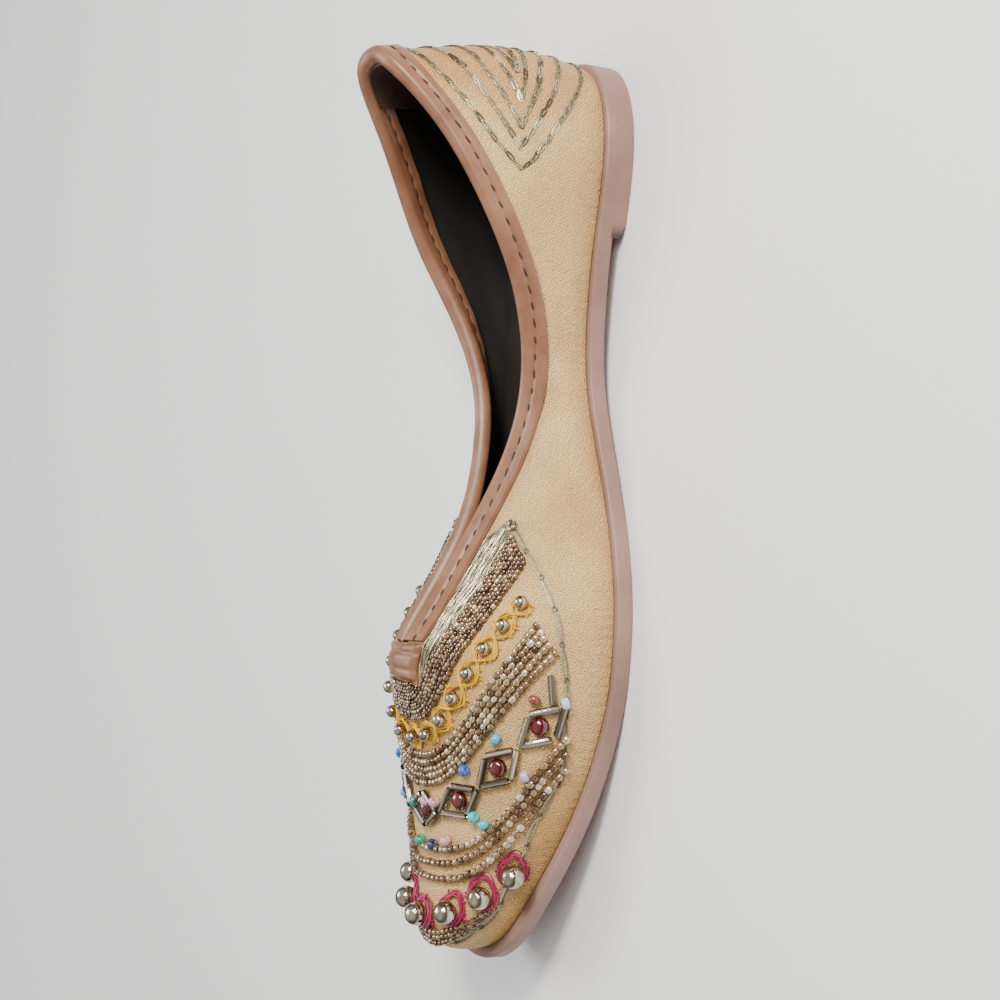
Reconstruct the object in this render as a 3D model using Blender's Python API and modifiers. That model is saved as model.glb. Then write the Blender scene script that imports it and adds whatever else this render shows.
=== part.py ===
"""A mojari: a left slip-on shoe with a hollow cloth upper on a thin leather sole.

+Y points to the toe, +X to the shoe's right, +Z up. The floor is at zero, and the middle of the shoe's box stands
over the origin. Lengths are in metres.
"""

import math

import bmesh
import bpy
import numpy as np

# Driving dimensions
LENGTH = 0.250  # foot line of the upper, heel to toe
HEEL_WIDTH = 0.0572
WAIST_WIDTH = 0.0468
BALL_WIDTH = 0.082
TOE_LEAN = 0.0035  # how far the toe swings to the inner side of the foot
OUTSOLE = 0.005
HEEL_LIFT = 0.0036
BREAST_LENGTH = 0.049  # length of the heel lift
BREAST_ROUND = 0.005
TOE_SPRING = 0.0135
SOLE_MARGIN = 0.0018  # how far the sole stands out past the upper
TOE_MARGIN = 0.0034  # and the same at the toe
SOLE_ROUND = 0.0009
HEEL_HEIGHT = 0.058  # back of the collar above the sole
SIDE_HEIGHT = 0.0155  # lowest side of the collar above the sole
INSTEP_HEIGHT = 0.043
TOE_HEIGHT = 0.0195
WALL = 0.002
INSOLE = 0.002
BINDING = 0.0011  # thickness of the leather round the collar
BINDING_WIDTH = 0.007
TAB = 0.0019  # thickness of the leather folded over the slit
GAP = 0.0003
SEEDS = 0.0016  # height of the bands of seed beads
SMALL_BALL = 0.0038
SMALL_PITCH = 0.008
LARGE_BALL = 0.0066
LARGE_PITCH = 0.0115
STONE = 0.0052
STONE_RISE = 0.0023
BUGLE = 0.0018  # thickness of the tube beads round each stone
DIAMOND_WIDTH = 0.0100
DIAMOND_PITCH = 0.0158

# Flat tread under the ball and the start of the toe spring, as shares of LENGTH
TREAD_START = 0.55
TREAD_END = 0.69
SPRING_POWER = 1.4

# One row for each section of the upper, heel to toe. The foot line lies on the sole and the edge line is the
# collar's edge, then the ridge of the vamp. Places along are shares of LENGTH. The foot rise and the edge drop
# are the handles of the section's curve as shares of its height, and the flare and reach are how far they
# stand out, as shares of half of BALL_WIDTH.
HEEL, WAIST, BALL = HEEL_WIDTH / 2, WAIST_WIDTH / 2, BALL_WIDTH / 2
SECTION_COLUMNS = (
    "foot_along", "foot_half", "edge_along", "edge_half", "height", "rise", "flare", "drop", "reach"
)
SECTIONS = (
    (0.000, 0.00 * HEEL, 0.008, 0.00 * HEEL, 1.00 * HEEL_HEIGHT, 0.41, 0.175, 0.28, 0.070),
    (0.012, 0.68 * HEEL, 0.028, 0.38 * HEEL, 0.97 * HEEL_HEIGHT, 0.41, 0.150, 0.28, 0.065),
    (0.088, 1.00 * HEEL, 0.097, 0.69 * HEEL, 0.75 * HEEL_HEIGHT, 0.48, 0.115, 0.30, 0.063),
    (0.190, 0.92 * HEEL, 0.192, 0.85 * HEEL, 0.52 * HEEL_HEIGHT, 0.45, 0.085, 0.30, 0.060),
    (0.280, 1.00 * WAIST, 0.275, 0.90 * WAIST, 1.27 * SIDE_HEIGHT, 0.50, 0.075, 0.28, 0.065),
    (0.362, 1.00 * WAIST, 0.362, 0.62 * WAIST, 0.96 * SIDE_HEIGHT, 0.55, 0.070, 0.20, 0.130),
    (0.442, 0.71 * BALL, 0.450, 0.37 * WAIST, 1.18 * SIDE_HEIGHT, 0.60, 0.068, 0.30, 0.210),
    (0.524, 0.88 * BALL, 0.542, 0.08 * BALL, 0.64 * INSTEP_HEIGHT, 0.50, 0.070, 0.28, 0.290),
    (0.604, 0.99 * BALL, 0.632, 0.07 * BALL, 0.92 * INSTEP_HEIGHT, 0.42, 0.070, 0.19, 0.370),
    (0.688, 1.00 * BALL, 0.684, 0.00 * BALL, 1.00 * INSTEP_HEIGHT, 0.45, 0.070, 0.05, 0.440),
    (0.776, 0.93 * BALL, 0.756, 0.00 * BALL, 0.82 * INSTEP_HEIGHT, 0.50, 0.070, 0.00, 0.460),
    (0.856, 0.78 * BALL, 0.832, 0.00 * BALL, 1.42 * TOE_HEIGHT, 0.52, 0.070, 0.00, 0.425),
    (0.928, 0.56 * BALL, 0.896, 0.00 * BALL, 1.17 * TOE_HEIGHT, 0.52, 0.066, 0.00, 0.350),
    (0.982, 0.33 * BALL, 0.940, 0.00 * BALL, 1.03 * TOE_HEIGHT, 0.55, 0.061, 0.00, 0.290),
    (1.000, 0.00 * BALL, 0.953, 0.00 * BALL, 0.98 * TOE_HEIGHT, 0.58, 0.056, 0.00, 0.250),
)
ODD_COLUMNS = ("foot_half", "edge_half")  # these change sign across the shoe's middle, and the rest don't
LAST_SECTION = len(SECTIONS) - 1
THROAT = 9  # the section where the collar closes
BINDING_END = 8.4  # the section where the binding stops under the tab
TAB_START = 8.45
TAB_END = 9.2
TAB_REACH = (0.87, 0.91, 0.955, 1.0)  # facets of the tab, as shares of the rib
FLAP = (1.0, 0.66, 0.33)  # facets of the binding's flaps, as shares of its width
BINDING_CROWN = 0.8  # how flat the binding's fold is over the edge
STEPS = 3  # facets from one section to the next
RIB_STEPS = 9  # facets from the foot line up to the edge line
NEAR, FAR = -1, 1  # the shoe's outer and inner side

# Lines of beadwork over the vamp, even about the shoe's middle line. The tip is a line's place along the shoe on
# the middle line and the end is where it stops, as shares of LENGTH. The half is how far out it stops, as a share
# of half of BALL_WIDTH, and a higher power makes the line squarer.
LINE_COLUMNS = ("tip", "end", "half", "power")
LINES = {
    "band 1 back": (0.7160, 0.5300, 0.430, 3.4),
    "band 1 front": (0.7420, 0.5620, 0.628, 3.0),
    "small balls": (0.7595, 0.6060, 0.714, 2.6),
    "band 2 back": (0.7760, 0.6225, 0.815, 2.7),
    "band 2 front": (0.8170, 0.6560, 0.935, 2.3),
    "stones": (0.8420, 0.7350, 0.878, 2.3),
    "band 3 back": (0.8820, 0.7410, 0.950, 3.0),
    "band 3 front": (0.9220, 0.7840, 0.918, 2.9),
    "large balls": (0.9610, 0.8980, 0.630, 2.0),
    "band 4 back": (0.9760, 0.9435, 0.480, 2.2),
    "band 4 front": (0.9960, 0.9560, 0.425, 2.0),
}
BANDS = 4
BAND_STEPS = 18
BAND_SHARES = (0.0, 0.12, 0.5, 0.88, 1.0)  # facets across a band, back to front
BAND_GAP = 2 * GAP  # under the bands and the tube beads
BEAD_GAP = 1.5 * GAP  # under the balls and the stones
BALL_FACETS = {"small_ball": 9, "large_ball": 12}
STONE_FACETS = 10
STONE_PROFILE = ((0.92, 0), (1.0, 0.25), (0.72, 0.75), (0.32, 1.0))  # half width and rise, as shares
TUBE_FACETS = 6
TAB_STATIONS = 5
LINE_SAMPLES = 121  # points that a line of beadwork is measured by
BESIDE = 0.01  # how far to each side of a stone its row's direction is read

# How a place on the upper is found from above: first guess of the rib share, rows that the first guess of the
# section is read from, number of steps, and the longest step along the sections and up the rib.
FIRST_SHARE = 0.8
FIRST_ROWS = 200
FIND_STEPS = 30
LONGEST_ALONG = 0.4
LONGEST_UP = 0.1


def section_slopes(values, odd):
    """Slopes of the smooth curve through values one step apart, mirrored at both ends."""
    count = len(values)
    matrix = np.zeros((count, count))
    right = np.zeros(count)
    for i in range(1, count - 1):
        matrix[i, i - 1 : i + 2] = 1, 4, 1
        right[i] = 3 * (values[i + 1] - values[i - 1])
    for end, inner, sign in ((0, 1, 1), (count - 1, count - 2, -1)):
        matrix[end, end] = 4 if odd else 1
        matrix[end, inner] = 2 if odd else 0
        right[end] = 6 * sign * values[inner] if odd else 0
    return np.linalg.solve(matrix, right)


COLUMNS = {name: np.array([row[i] for row in SECTIONS]) for i, name in enumerate(SECTION_COLUMNS)}
SLOPES = {name: section_slopes(values, name in ODD_COLUMNS) for name, values in COLUMNS.items()}


def column(name, t):
    """A column of the table read smoothly at t, where a whole number is a row."""
    t = np.clip(np.asarray(t, float), 0, LAST_SECTION)
    row = np.minimum(t.astype(int), LAST_SECTION - 1)
    u = t - row
    a, b = COLUMNS[name][row], COLUMNS[name][row + 1]
    slope_a, slope_b = SLOPES[name][row], SLOPES[name][row + 1]
    rise = b - a
    return a + u * (slope_a + u * (3 * rise - 2 * slope_a - slope_b + u * (slope_a + slope_b - 2 * rise)))


def smooth_step(value):
    value = np.clip(value, 0, 1)
    return value * value * (3 - 2 * value)


def sole_height(y):
    """Height of the outsole's lower face at a place along the shoe: heel seat, arch, flat tread, toe spring."""
    arch = smooth_step((TREAD_START * LENGTH - y) / (TREAD_START * LENGTH - BREAST_LENGTH))
    spring = np.clip((y / LENGTH - TREAD_END) / (1 - TREAD_END), 0, None) ** SPRING_POWER
    return HEEL_LIFT * arch + TOE_SPRING * spring


def middle(y):
    """How far the shoe's middle line has swung inwards at a place along it."""
    return TOE_LEAN * smooth_step((y / LENGTH - TREAD_START) / (1 - TREAD_START))


def foot_line(t, side):
    """Points of the foot line on the outsole's upper face."""
    y = column("foot_along", t) * LENGTH
    x = middle(y) + side * column("foot_half", t)
    return np.stack([x, y, sole_height(y) + OUTSOLE], axis=-1)


def outward(t, side):
    """Level direction square to the foot line, away from the shoe."""
    step = 1e-3
    ahead = foot_line(np.minimum(t + step, LAST_SECTION), side)
    behind = foot_line(np.maximum(t - step, 0), side)
    along = ahead - behind
    across = np.stack([side * along[..., 1], -side * along[..., 0], 0 * along[..., 0]], axis=-1)
    return across / np.linalg.norm(across, axis=-1, keepdims=True)


def edge_line(t, side):
    """Points of the collar's edge and, past the throat, of the ridge."""
    t = np.asarray(t, float)
    y = column("edge_along", t) * LENGTH
    half = np.where(t < THROAT, np.maximum(column("edge_half", t), 0), 0)
    z = sole_height(y) + OUTSOLE + column("height", t)
    return np.stack([middle(y) + side * half, y, z], axis=-1)


def skin(t, v, side):
    """The outer face of the upper: t runs from the heel to the toe and v from the foot line to the edge line."""
    t, v = np.broadcast_arrays(np.asarray(t, float), np.asarray(v, float))
    up = np.array([0.0, 0.0, 1.0])
    foot = foot_line(t, side) + GAP * up
    edge = edge_line(t, side)
    away = outward(t, side)
    height = column("height", t)[..., None]
    low = foot + column("rise", t)[..., None] * height * up + column("flare", t)[..., None] * BALL * away
    high = edge - column("drop", t)[..., None] * height * up + column("reach", t)[..., None] * BALL * away
    v = v[..., None]
    w = 1 - v
    return w**3 * foot + 3 * w * w * v * low + 3 * w * v * v * high + v**3 * edge


def skin_normal(t, v, side):
    """Direction out of the upper."""
    step = 1e-3
    t, v = np.broadcast_arrays(np.asarray(t, float), np.asarray(v, float))
    t0, t1 = np.maximum(t - step, 0), np.minimum(t + step, LAST_SECTION)
    v0, v1 = np.maximum(v - step, 0), np.minimum(v + step, 1)
    along = skin(t1, v, side) - skin(t0, v, side)
    rising = skin(t, v1, side) - skin(t, v0, side)
    normal = np.cross(along, rising) * np.asarray(side)[..., None]
    return normal / np.linalg.norm(normal, axis=-1, keepdims=True)


def offset_skin(t, v, side, distance):
    """A point that lies a distance out from the upper's outer face, or in from it where that is negative."""
    return skin(t, v, side) + skin_normal(t, v, side) * distance


def make_material(name, colour, roughness, metallic=0.0):
    material = bpy.data.materials.new(name)
    material.use_nodes = True
    shader = material.node_tree.nodes["Principled BSDF"]
    shader.inputs["Base Color"].default_value = (*colour, 1.0)
    shader.inputs["Roughness"].default_value = roughness
    shader.inputs["Metallic"].default_value = metallic
    material.diffuse_color = (*colour, 1.0)
    return material


def add_part(name, mesh, material):
    """A named object of the shoe with its own material, shaded smooth but for its true edges."""
    part = bpy.data.objects.new(name, mesh)
    shoe.objects.link(part)
    mesh.materials.append(material)
    mesh.shade_smooth()
    mesh.set_sharp_from_angle(angle=math.radians(40))
    return part


def mesh_from(name, bm):
    bmesh.ops.recalc_face_normals(bm, faces=bm.faces)
    mesh = bpy.data.meshes.new(name)
    bm.to_mesh(mesh)
    bm.free()
    return mesh


def loft(name, rings, joined=False):
    """A solid through rings of as many points each. Its end rings are filled, or joined to each other."""
    bm = bmesh.new()
    rows = [[bm.verts.new(point) for point in ring] for ring in rings]
    pairs = list(zip(rows, rows[1:]))
    if joined:
        pairs.append((rows[-1], rows[0]))
    else:
        bm.faces.new(rows[0])
        bm.faces.new(rows[-1])
    for first, second in pairs:
        for i in range(len(first)):
            j = (i + 1) % len(first)
            bm.faces.new((first[i], first[j], second[j], second[i]))
    return mesh_from(name, bm)


def slab(name, stations, margin, levels):
    """A flat piece under the foot. Its outline stands out by margin from the foot line. levels gives, top to
    bottom, how far each rim is drawn in from there and its height, margin and height as functions of the place
    along the shoe."""
    joined_heel = bool(stations[0] == 0)
    joined_toe = bool(stations[-1] == LAST_SECTION)
    bm = bmesh.new()
    rows = []
    for inset, height in levels:
        sides = []
        for side in (NEAR, FAR):
            foot = foot_line(stations, side)
            points = foot + (margin(foot[:, 1:2]) - inset) * outward(stations, side)
            points[:, 2] = height(np.clip(points[:, 1], 0, LENGTH))
            sides.append(points)
        near_row = [bm.verts.new(point) for point in sides[0]]
        far_row = [bm.verts.new(point) for point in sides[1][joined_heel : len(stations) - joined_toe]]
        if joined_heel:
            far_row.insert(0, near_row[0])
        if joined_toe:
            far_row.append(near_row[-1])
        rows.append((near_row, far_row))
    for (near_a, far_a), (near_b, far_b) in zip(rows, rows[1:]):
        for a, b in ((near_a, near_b), (far_a, far_b)):
            for i in range(len(a) - 1):
                bm.faces.new((a[i], a[i + 1], b[i + 1], b[i]))
        if not joined_heel:
            bm.faces.new((near_a[0], far_a[0], far_b[0], near_b[0]))
        if not joined_toe:
            bm.faces.new((near_a[-1], far_a[-1], far_b[-1], near_b[-1]))
    for near_row, far_row in (rows[0], rows[-1]):
        for i in range(len(near_row) - 1):
            corners = (near_row[i], near_row[i + 1], far_row[i + 1], far_row[i])
            bm.faces.new(dict.fromkeys(corners))
    return mesh_from(name, bm)


def sole_margin(y):
    """How far the sole stands out past the upper: a little more round the toe."""
    return SOLE_MARGIN + (TOE_MARGIN - SOLE_MARGIN) * smooth_step((y / LENGTH - TREAD_END) / (1 - TREAD_END))


def seat(y):
    """Height of the outsole's upper face."""
    return sole_height(y) + OUTSOLE


def make_outsole():
    """The sole, with both rims rounded."""
    stations = np.arange(LAST_SECTION * STEPS + 1) / STEPS
    levels = (
        (SOLE_ROUND, seat),
        (0, lambda y: seat(y) - SOLE_ROUND),
        (0, lambda y: sole_height(y) + SOLE_ROUND),
        (SOLE_ROUND, sole_height),
    )
    mesh = slab("outsole", stations, sole_margin, levels)
    return add_part("outsole", mesh, make_material("sole leather", (0.42, 0.30, 0.28), 0.62))


def station_at(y):
    """The section number, with its fraction, whose foot line lies at a place along the shoe."""
    t = np.linspace(0, LAST_SECTION, 2000)
    return float(np.interp(y, column("foot_along", t) * LENGTH, t))


def make_heel_lift():
    """The lift under the heel seat, with its breast rounded upwards in front."""
    round_start = BREAST_LENGTH - BREAST_ROUND
    straight = np.arange(0, station_at(round_start) - 0.1, 1 / STEPS)
    rounded = [station_at(y) for y in np.linspace(round_start, BREAST_LENGTH, 4)]
    stations = np.concatenate([straight, rounded])
    top = HEEL_LIFT - GAP

    def underside(y):
        past = np.clip((y - round_start) / BREAST_ROUND, 0, 1)
        return 0.5 * top * past * past

    levels = (
        (0.5 * SOLE_ROUND, lambda y: 0 * y + top),
        (0, lambda y: 0 * y + top - 0.5 * SOLE_ROUND),
        (0, lambda y: underside(y) + 0.5 * SOLE_ROUND),
        (0.5 * SOLE_ROUND, underside),
    )
    mesh = slab("heel_lift", stations, sole_margin, levels)
    return add_part("heel_lift", mesh, make_material("heel rubber", (0.38, 0.27, 0.25), 0.7))


def make_insole():
    """The board that lies on the outsole inside the upper."""
    stations = np.arange(LAST_SECTION * STEPS + 1) / STEPS
    levels = ((0, lambda y: seat(y) + GAP + INSOLE), (0, lambda y: seat(y) + GAP))
    mesh = slab("insole", stations, lambda y: -(WALL + 2 * GAP), levels)
    return add_part("insole", mesh, make_material("insole leather", (0.10, 0.07, 0.05), 0.8))


def make_upper():
    """One hollow wall: an open skin from the foot line to the collar and the ridge, thickened inwards."""
    stations = np.arange(LAST_SECTION * STEPS + 1) / STEPS
    levels = np.arange(RIB_STEPS + 1) / RIB_STEPS
    bm = bmesh.new()
    grids = {}
    for side in (NEAR, FAR):
        points = skin(stations[:, None], levels[None, :], side)
        grid = []
        for i, t in enumerate(stations):
            row = []
            for j in range(len(levels)):
                on_seam = t in (0, LAST_SECTION) or (t >= THROAT and j == RIB_STEPS)
                shared = side == FAR and on_seam
                row.append(grids[NEAR][i][j] if shared else bm.verts.new(points[i, j]))
            grid.append(row)
        grids[side] = grid
        for i in range(len(stations) - 1):
            for j in range(RIB_STEPS):
                corners = (grid[i][j], grid[i + 1][j], grid[i + 1][j + 1], grid[i][j + 1])
                bm.faces.new(corners if side == NEAR else corners[::-1])
    upper = add_part("upper", mesh_from("upper", bm), make_material("brocade", (0.68, 0.52, 0.33), 0.6))
    shell = upper.modifiers.new("wall", "SOLIDIFY")
    shell.thickness = WALL
    shell.offset = -1
    shell.use_even_offset = False
    return upper


def binding_section(t, side):
    """The U of leather round the edge: down the outer face, and back up and over from the lining."""
    edge = skin(t, 1.0, side)
    below = skin(t, 1 - 1 / RIB_STEPS, side)
    upward = (edge - below) / np.linalg.norm(edge - below)
    out = skin_normal(t, 1.0, side)
    rib_length = np.linalg.norm(np.diff(skin(t, np.linspace(0, 1, 30), side), axis=0), axis=1).sum()
    outer, inner = GAP + BINDING, -(WALL + GAP + BINDING)
    centre = -WALL / 2
    radius = WALL / 2 + GAP + BINDING
    points = []
    flap = [1 - BINDING_WIDTH * share / rib_length for share in FLAP]
    for v in flap:
        points.append(offset_skin(t, v, side, outer))
    for degrees in (0, 45, 90, 135, 180):
        angle = math.radians(degrees)
        rise = BINDING_CROWN * radius * math.sin(angle)
        points.append(edge + out * (centre + radius * math.cos(angle)) + upward * rise)
    for v in flap[::-1]:
        points.append(offset_skin(t, v, side, inner))
    for v in flap:
        points.append(offset_skin(t, v, side, -(WALL + GAP)))
    points.append(edge + upward * GAP - out * (WALL + GAP))
    points.append(edge + upward * GAP + out * GAP)
    for v in flap[::-1]:
        points.append(offset_skin(t, v, side, GAP))
    return points


def make_topline_binding():
    """The leather binding, one strip from the throat's outer side round the heel to its inner side."""
    stations = np.linspace(0, BINDING_END, round(BINDING_END * STEPS) + 1)
    rings = [binding_section(t, NEAR) for t in stations[::-1]]
    rings += [binding_section(t, FAR) for t in stations[1:]]
    leather = make_material("binding leather", (0.45, 0.27, 0.20), 0.5)
    return add_part("topline_binding", loft("topline_binding", rings), leather)


def make_throat_tab():
    """The leather folded over the end of the slit."""
    stations = np.linspace(TAB_START, TAB_END, TAB_STATIONS)
    rings = []
    for t in stations:
        ring = []
        for distance, order in ((GAP + TAB, 1), (GAP, -1)):
            across = [offset_skin(t, v, NEAR, distance) for v in TAB_REACH]
            across += [offset_skin(t, v, FAR, distance) for v in TAB_REACH[::-1]]
            ring += across[::order]
        rings.append(ring)
    leather = make_material("tab leather", (0.46, 0.28, 0.21), 0.5)
    return add_part("throat_tab", loft("throat_tab", rings), leather)


def bead_line(name, q):
    """Places of a line of beadwork seen from above, where q runs from -1 at its near end to 1 at its far end."""
    tip, end, half, power = LINES[name]
    y = (tip - (tip - end) * np.abs(q) ** power) * LENGTH
    return middle(y) + half * BALL * q, y


def find_on_skin(x, y):
    """The section number, rib share and side of the upper's outer face under places seen from above."""
    x, y = np.atleast_1d(x).astype(float), np.atleast_1d(y).astype(float)
    side = np.where(x > middle(y), FAR, NEAR)
    row = np.linspace(0, LAST_SECTION, FIRST_ROWS)
    t = np.interp(y, skin(row, FIRST_SHARE, NEAR)[:, 1], row)
    v = np.full_like(t, FIRST_SHARE)
    step = 1e-4
    for _ in range(FIND_STEPS):
        here = skin(t, v, side)
        by_t = (here - skin(t - step, v, side)) / step
        by_v = (here - skin(t, v - step, side)) / step
        dx, dy = x - here[:, 0], y - here[:, 1]
        scale = by_t[:, 0] * by_v[:, 1] - by_t[:, 1] * by_v[:, 0]
        scale = np.where(np.abs(scale) < 1e-9, 1e-9, scale)
        t_change = (dx * by_v[:, 1] - dy * by_v[:, 0]) / scale
        v_change = (dy * by_t[:, 0] - dx * by_t[:, 1]) / scale
        t = np.clip(t + np.clip(t_change, -LONGEST_ALONG, LONGEST_ALONG), 0, LAST_SECTION - step)
        v = np.clip(v + np.clip(v_change, -LONGEST_UP, LONGEST_UP), step, 1)
    return t, v, side


def over_skin(x, y, height):
    """Points at a height above the upper's outer face, square to it, over places seen from above."""
    t, v, side = find_on_skin(x, y)
    return offset_skin(t, v, side, height)


def spread(name, pitch):
    """Even places on a line of beadwork, one at each end and one on the middle line, and the pitch they get."""
    q = np.linspace(-1, 1, LINE_SAMPLES)
    points = over_skin(*bead_line(name, q), 0)
    run = np.concatenate([[0], np.cumsum(np.linalg.norm(np.diff(points, axis=0), axis=1))])
    half_count = max(1, round(run[-1] / pitch / 2))
    places = np.interp(np.linspace(0, run[-1], 2 * half_count + 1), run, q)
    return places, run[-1] / (2 * half_count)


def make_seed_bands():
    """The bands of close rows of seed beads, each as one strip that lies on the upper."""
    material = make_material("seed beads", (0.55, 0.42, 0.34), 0.35)
    places = np.linspace(-1, 1, BAND_STEPS + 1)
    shares = np.array(BAND_SHARES)
    shoulder, crown = BAND_GAP + SEEDS / 2, BAND_GAP + SEEDS
    heights = np.array([shoulder, crown, crown, crown, shoulder])
    for number in range(1, BANDS + 1):
        rings = []
        for q in places:
            back = np.array(bead_line(f"band {number} back", q))
            front = np.array(bead_line(f"band {number} front", q))
            x, y = back[:, None] + (front - back)[:, None] * shares
            t, v, side = find_on_skin(x, y)
            top = skin(t, v, side) + skin_normal(t, v, side) * heights[:, None]
            bottom = offset_skin(t, v, side, BAND_GAP)
            rings.append([*top, *bottom[::-2]])
        add_part(f"seed_band_{number}", loft(f"seed_band_{number}", rings), material)


def make_balls(name, line, pitch, diameter, material):
    """Round metal beads in a row over the vamp."""
    facets = BALL_FACETS[name]
    places, _ = spread(line, pitch)
    centres = over_skin(*bead_line(line, places), BEAD_GAP + diameter / 2)
    for number, centre in enumerate(centres, 1):
        bm = bmesh.new()
        bmesh.ops.create_uvsphere(bm, u_segments=facets, v_segments=facets * 2 // 3, radius=diameter / 2)
        bmesh.ops.translate(bm, verts=bm.verts, vec=centre)
        add_part(f"{name}_{number}", mesh_from(f"{name}_{number}", bm), material)


def make_stone(name, centre, along, across, normal, material):
    """A red glass dome with a flat back."""
    rings = []
    for share, rise in STONE_PROFILE:
        angles = np.arange(STONE_FACETS) * math.tau / STONE_FACETS
        flat = np.cos(angles)[:, None] * along + np.sin(angles)[:, None] * across
        rings.append(centre + flat * share * STONE / 2 + normal * (BEAD_GAP + rise * STONE_RISE))
    add_part(name, loft(name, rings), material)


def make_diamond(name, centre, along, across, length, material):
    """Four tube beads round a stone, joined at the corners."""
    radius = BUGLE / 2
    corners = [along * length / 2, across * DIAMOND_WIDTH / 2, -along * length / 2, -across * DIAMOND_WIDTH / 2]
    path = []
    for corner, following in zip(corners, corners[1:] + corners[:1]):
        path += [centre + corner, centre + (corner + following) / 2]
    path = np.array(path)
    t, v, side = find_on_skin(path[:, 0], path[:, 1])
    normals = skin_normal(t, v, side)
    path = skin(t, v, side) + normals * (BAND_GAP + radius)
    rings = []
    for i, (point, normal) in enumerate(zip(path, normals)):
        before, after = point - path[i - 1], path[(i + 1) % len(path)] - point
        before, after = before / np.linalg.norm(before), after / np.linalg.norm(after)
        forward = (before + after) / np.linalg.norm(before + after)
        sideways = np.cross(normal, forward)
        stretch = radius / np.dot(forward, after)
        angles = [math.tau * k / TUBE_FACETS for k in range(TUBE_FACETS)]
        rings.append([
            point + sideways * stretch * math.cos(angle) + normal * radius * math.sin(angle) for angle in angles
        ])
    add_part(name, loft(name, rings, joined=True), material)


def make_stones():
    """The row of red stones, each in a diamond of tube beads."""
    red = make_material("red glass", (0.35, 0.01, 0.01), 0.1)
    grey = make_material("bugle glass", (0.30, 0.27, 0.23), 0.2, 0.4)
    places, pitch = spread("stones", DIAMOND_PITCH)
    length = pitch - 2 * BUGLE
    for number, q in enumerate(places, 1):
        x, y = bead_line("stones", np.array([q]))
        t, v, side = find_on_skin(x, y)
        centre = skin(t, v, side)[0]
        normal = skin_normal(t, v, side)[0]
        behind, ahead = over_skin(*bead_line("stones", np.array([q - BESIDE, q + BESIDE])), 0)
        along = ahead - behind
        along -= normal * np.dot(normal, along)
        along /= np.linalg.norm(along)
        across = np.cross(normal, along)
        make_stone(f"red_stone_{number}", centre, along, across, normal, red)
        make_diamond(f"bugle_diamond_{number}", centre, along, across, length, grey)


def stand_over_origin():
    """Moves all parts so that the middle of their box is over the origin, with the floor left where it is."""
    bpy.context.view_layer.update()
    corners = []
    graph = bpy.context.evaluated_depsgraph_get()
    for part in shoe.objects:
        mesh = part.evaluated_get(graph).to_mesh()
        corners += [part.matrix_world @ vertex.co for vertex in mesh.vertices]
    for part in shoe.objects:
        for axis in (0, 1):
            values = [corner[axis] for corner in corners]
            part.location[axis] = -(min(values) + max(values)) / 2


for old in list(bpy.data.objects):
    bpy.data.objects.remove(old, do_unlink=True)
shoe = bpy.data.collections.new("mojari")
bpy.context.scene.collection.children.link(shoe)
make_outsole()
make_heel_lift()
make_insole()
make_upper()
make_topline_binding()
make_throat_tab()
make_seed_bands()
metal = make_material("pale metal", (0.75, 0.70, 0.60), 0.15, 1.0)
make_balls("small_ball", "small balls", SMALL_PITCH, SMALL_BALL, metal)
make_balls("large_ball", "large balls", LARGE_PITCH, LARGE_BALL, metal)
make_stones()
stand_over_origin()
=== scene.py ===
"""A beaded mojari, the left shoe of a pair, dressed over its solid model."""

import math

import bpy
import numpy as np
from mathutils import Matrix, Vector


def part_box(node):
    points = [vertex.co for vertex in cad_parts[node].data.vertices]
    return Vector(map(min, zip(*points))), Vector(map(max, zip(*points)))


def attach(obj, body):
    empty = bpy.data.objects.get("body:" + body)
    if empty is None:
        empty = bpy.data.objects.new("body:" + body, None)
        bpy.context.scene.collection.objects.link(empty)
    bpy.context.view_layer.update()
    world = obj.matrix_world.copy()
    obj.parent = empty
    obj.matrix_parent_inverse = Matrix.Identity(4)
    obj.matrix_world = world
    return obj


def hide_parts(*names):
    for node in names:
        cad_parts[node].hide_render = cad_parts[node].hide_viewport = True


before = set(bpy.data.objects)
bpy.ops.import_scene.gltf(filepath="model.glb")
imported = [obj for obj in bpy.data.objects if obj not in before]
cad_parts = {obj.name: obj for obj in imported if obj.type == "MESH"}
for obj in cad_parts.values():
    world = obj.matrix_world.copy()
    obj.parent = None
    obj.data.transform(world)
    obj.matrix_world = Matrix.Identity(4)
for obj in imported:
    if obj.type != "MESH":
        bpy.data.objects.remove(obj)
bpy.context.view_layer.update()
chance = np.random.default_rng(7)

# Sizes of the shoe, in metres
LENGTH = 0.250
HEEL_WIDTH = 0.0572
WAIST_WIDTH = 0.0468
BALL_WIDTH = 0.082
TOE_LEAN = 0.0035
OUTSOLE = 0.005
HEEL_LIFT = 0.0036
BREAST_LENGTH = 0.049
BREAST_ROUND = 0.005
TOE_SPRING = 0.0135
SOLE_MARGIN = 0.0018
TOE_MARGIN = 0.0034
SOLE_ROUND = 0.0009
HEEL_HEIGHT = 0.058
SIDE_HEIGHT = 0.0155
INSTEP_HEIGHT = 0.043
TOE_HEIGHT = 0.0195
WALL = 0.002
CLOTH = 0.0012
INSOLE = 0.002
BINDING = 0.0011
BINDING_WIDTH = 0.007
TAB = 0.0019
GAP = 0.0003
SMALL_BALL = 0.0038
SMALL_PITCH = 0.008
LARGE_BALL = 0.0066
LARGE_PITCH = 0.0115
STONE = 0.0052
STONE_RISE = 0.0023
BUGLE = 0.0018
BUGLE_LENGTH = 0.0080
DIAMOND_WIDTH = 0.0092
DIAMOND_PITCH = 0.0158
SINGLE_BEAD = 0.0033
STITCH_PITCH = 0.0049
STITCH_WIDTH = 0.0006
STITCH_DEPTH = 0.00022
YELLOW_STRAND = 0.00019
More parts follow.
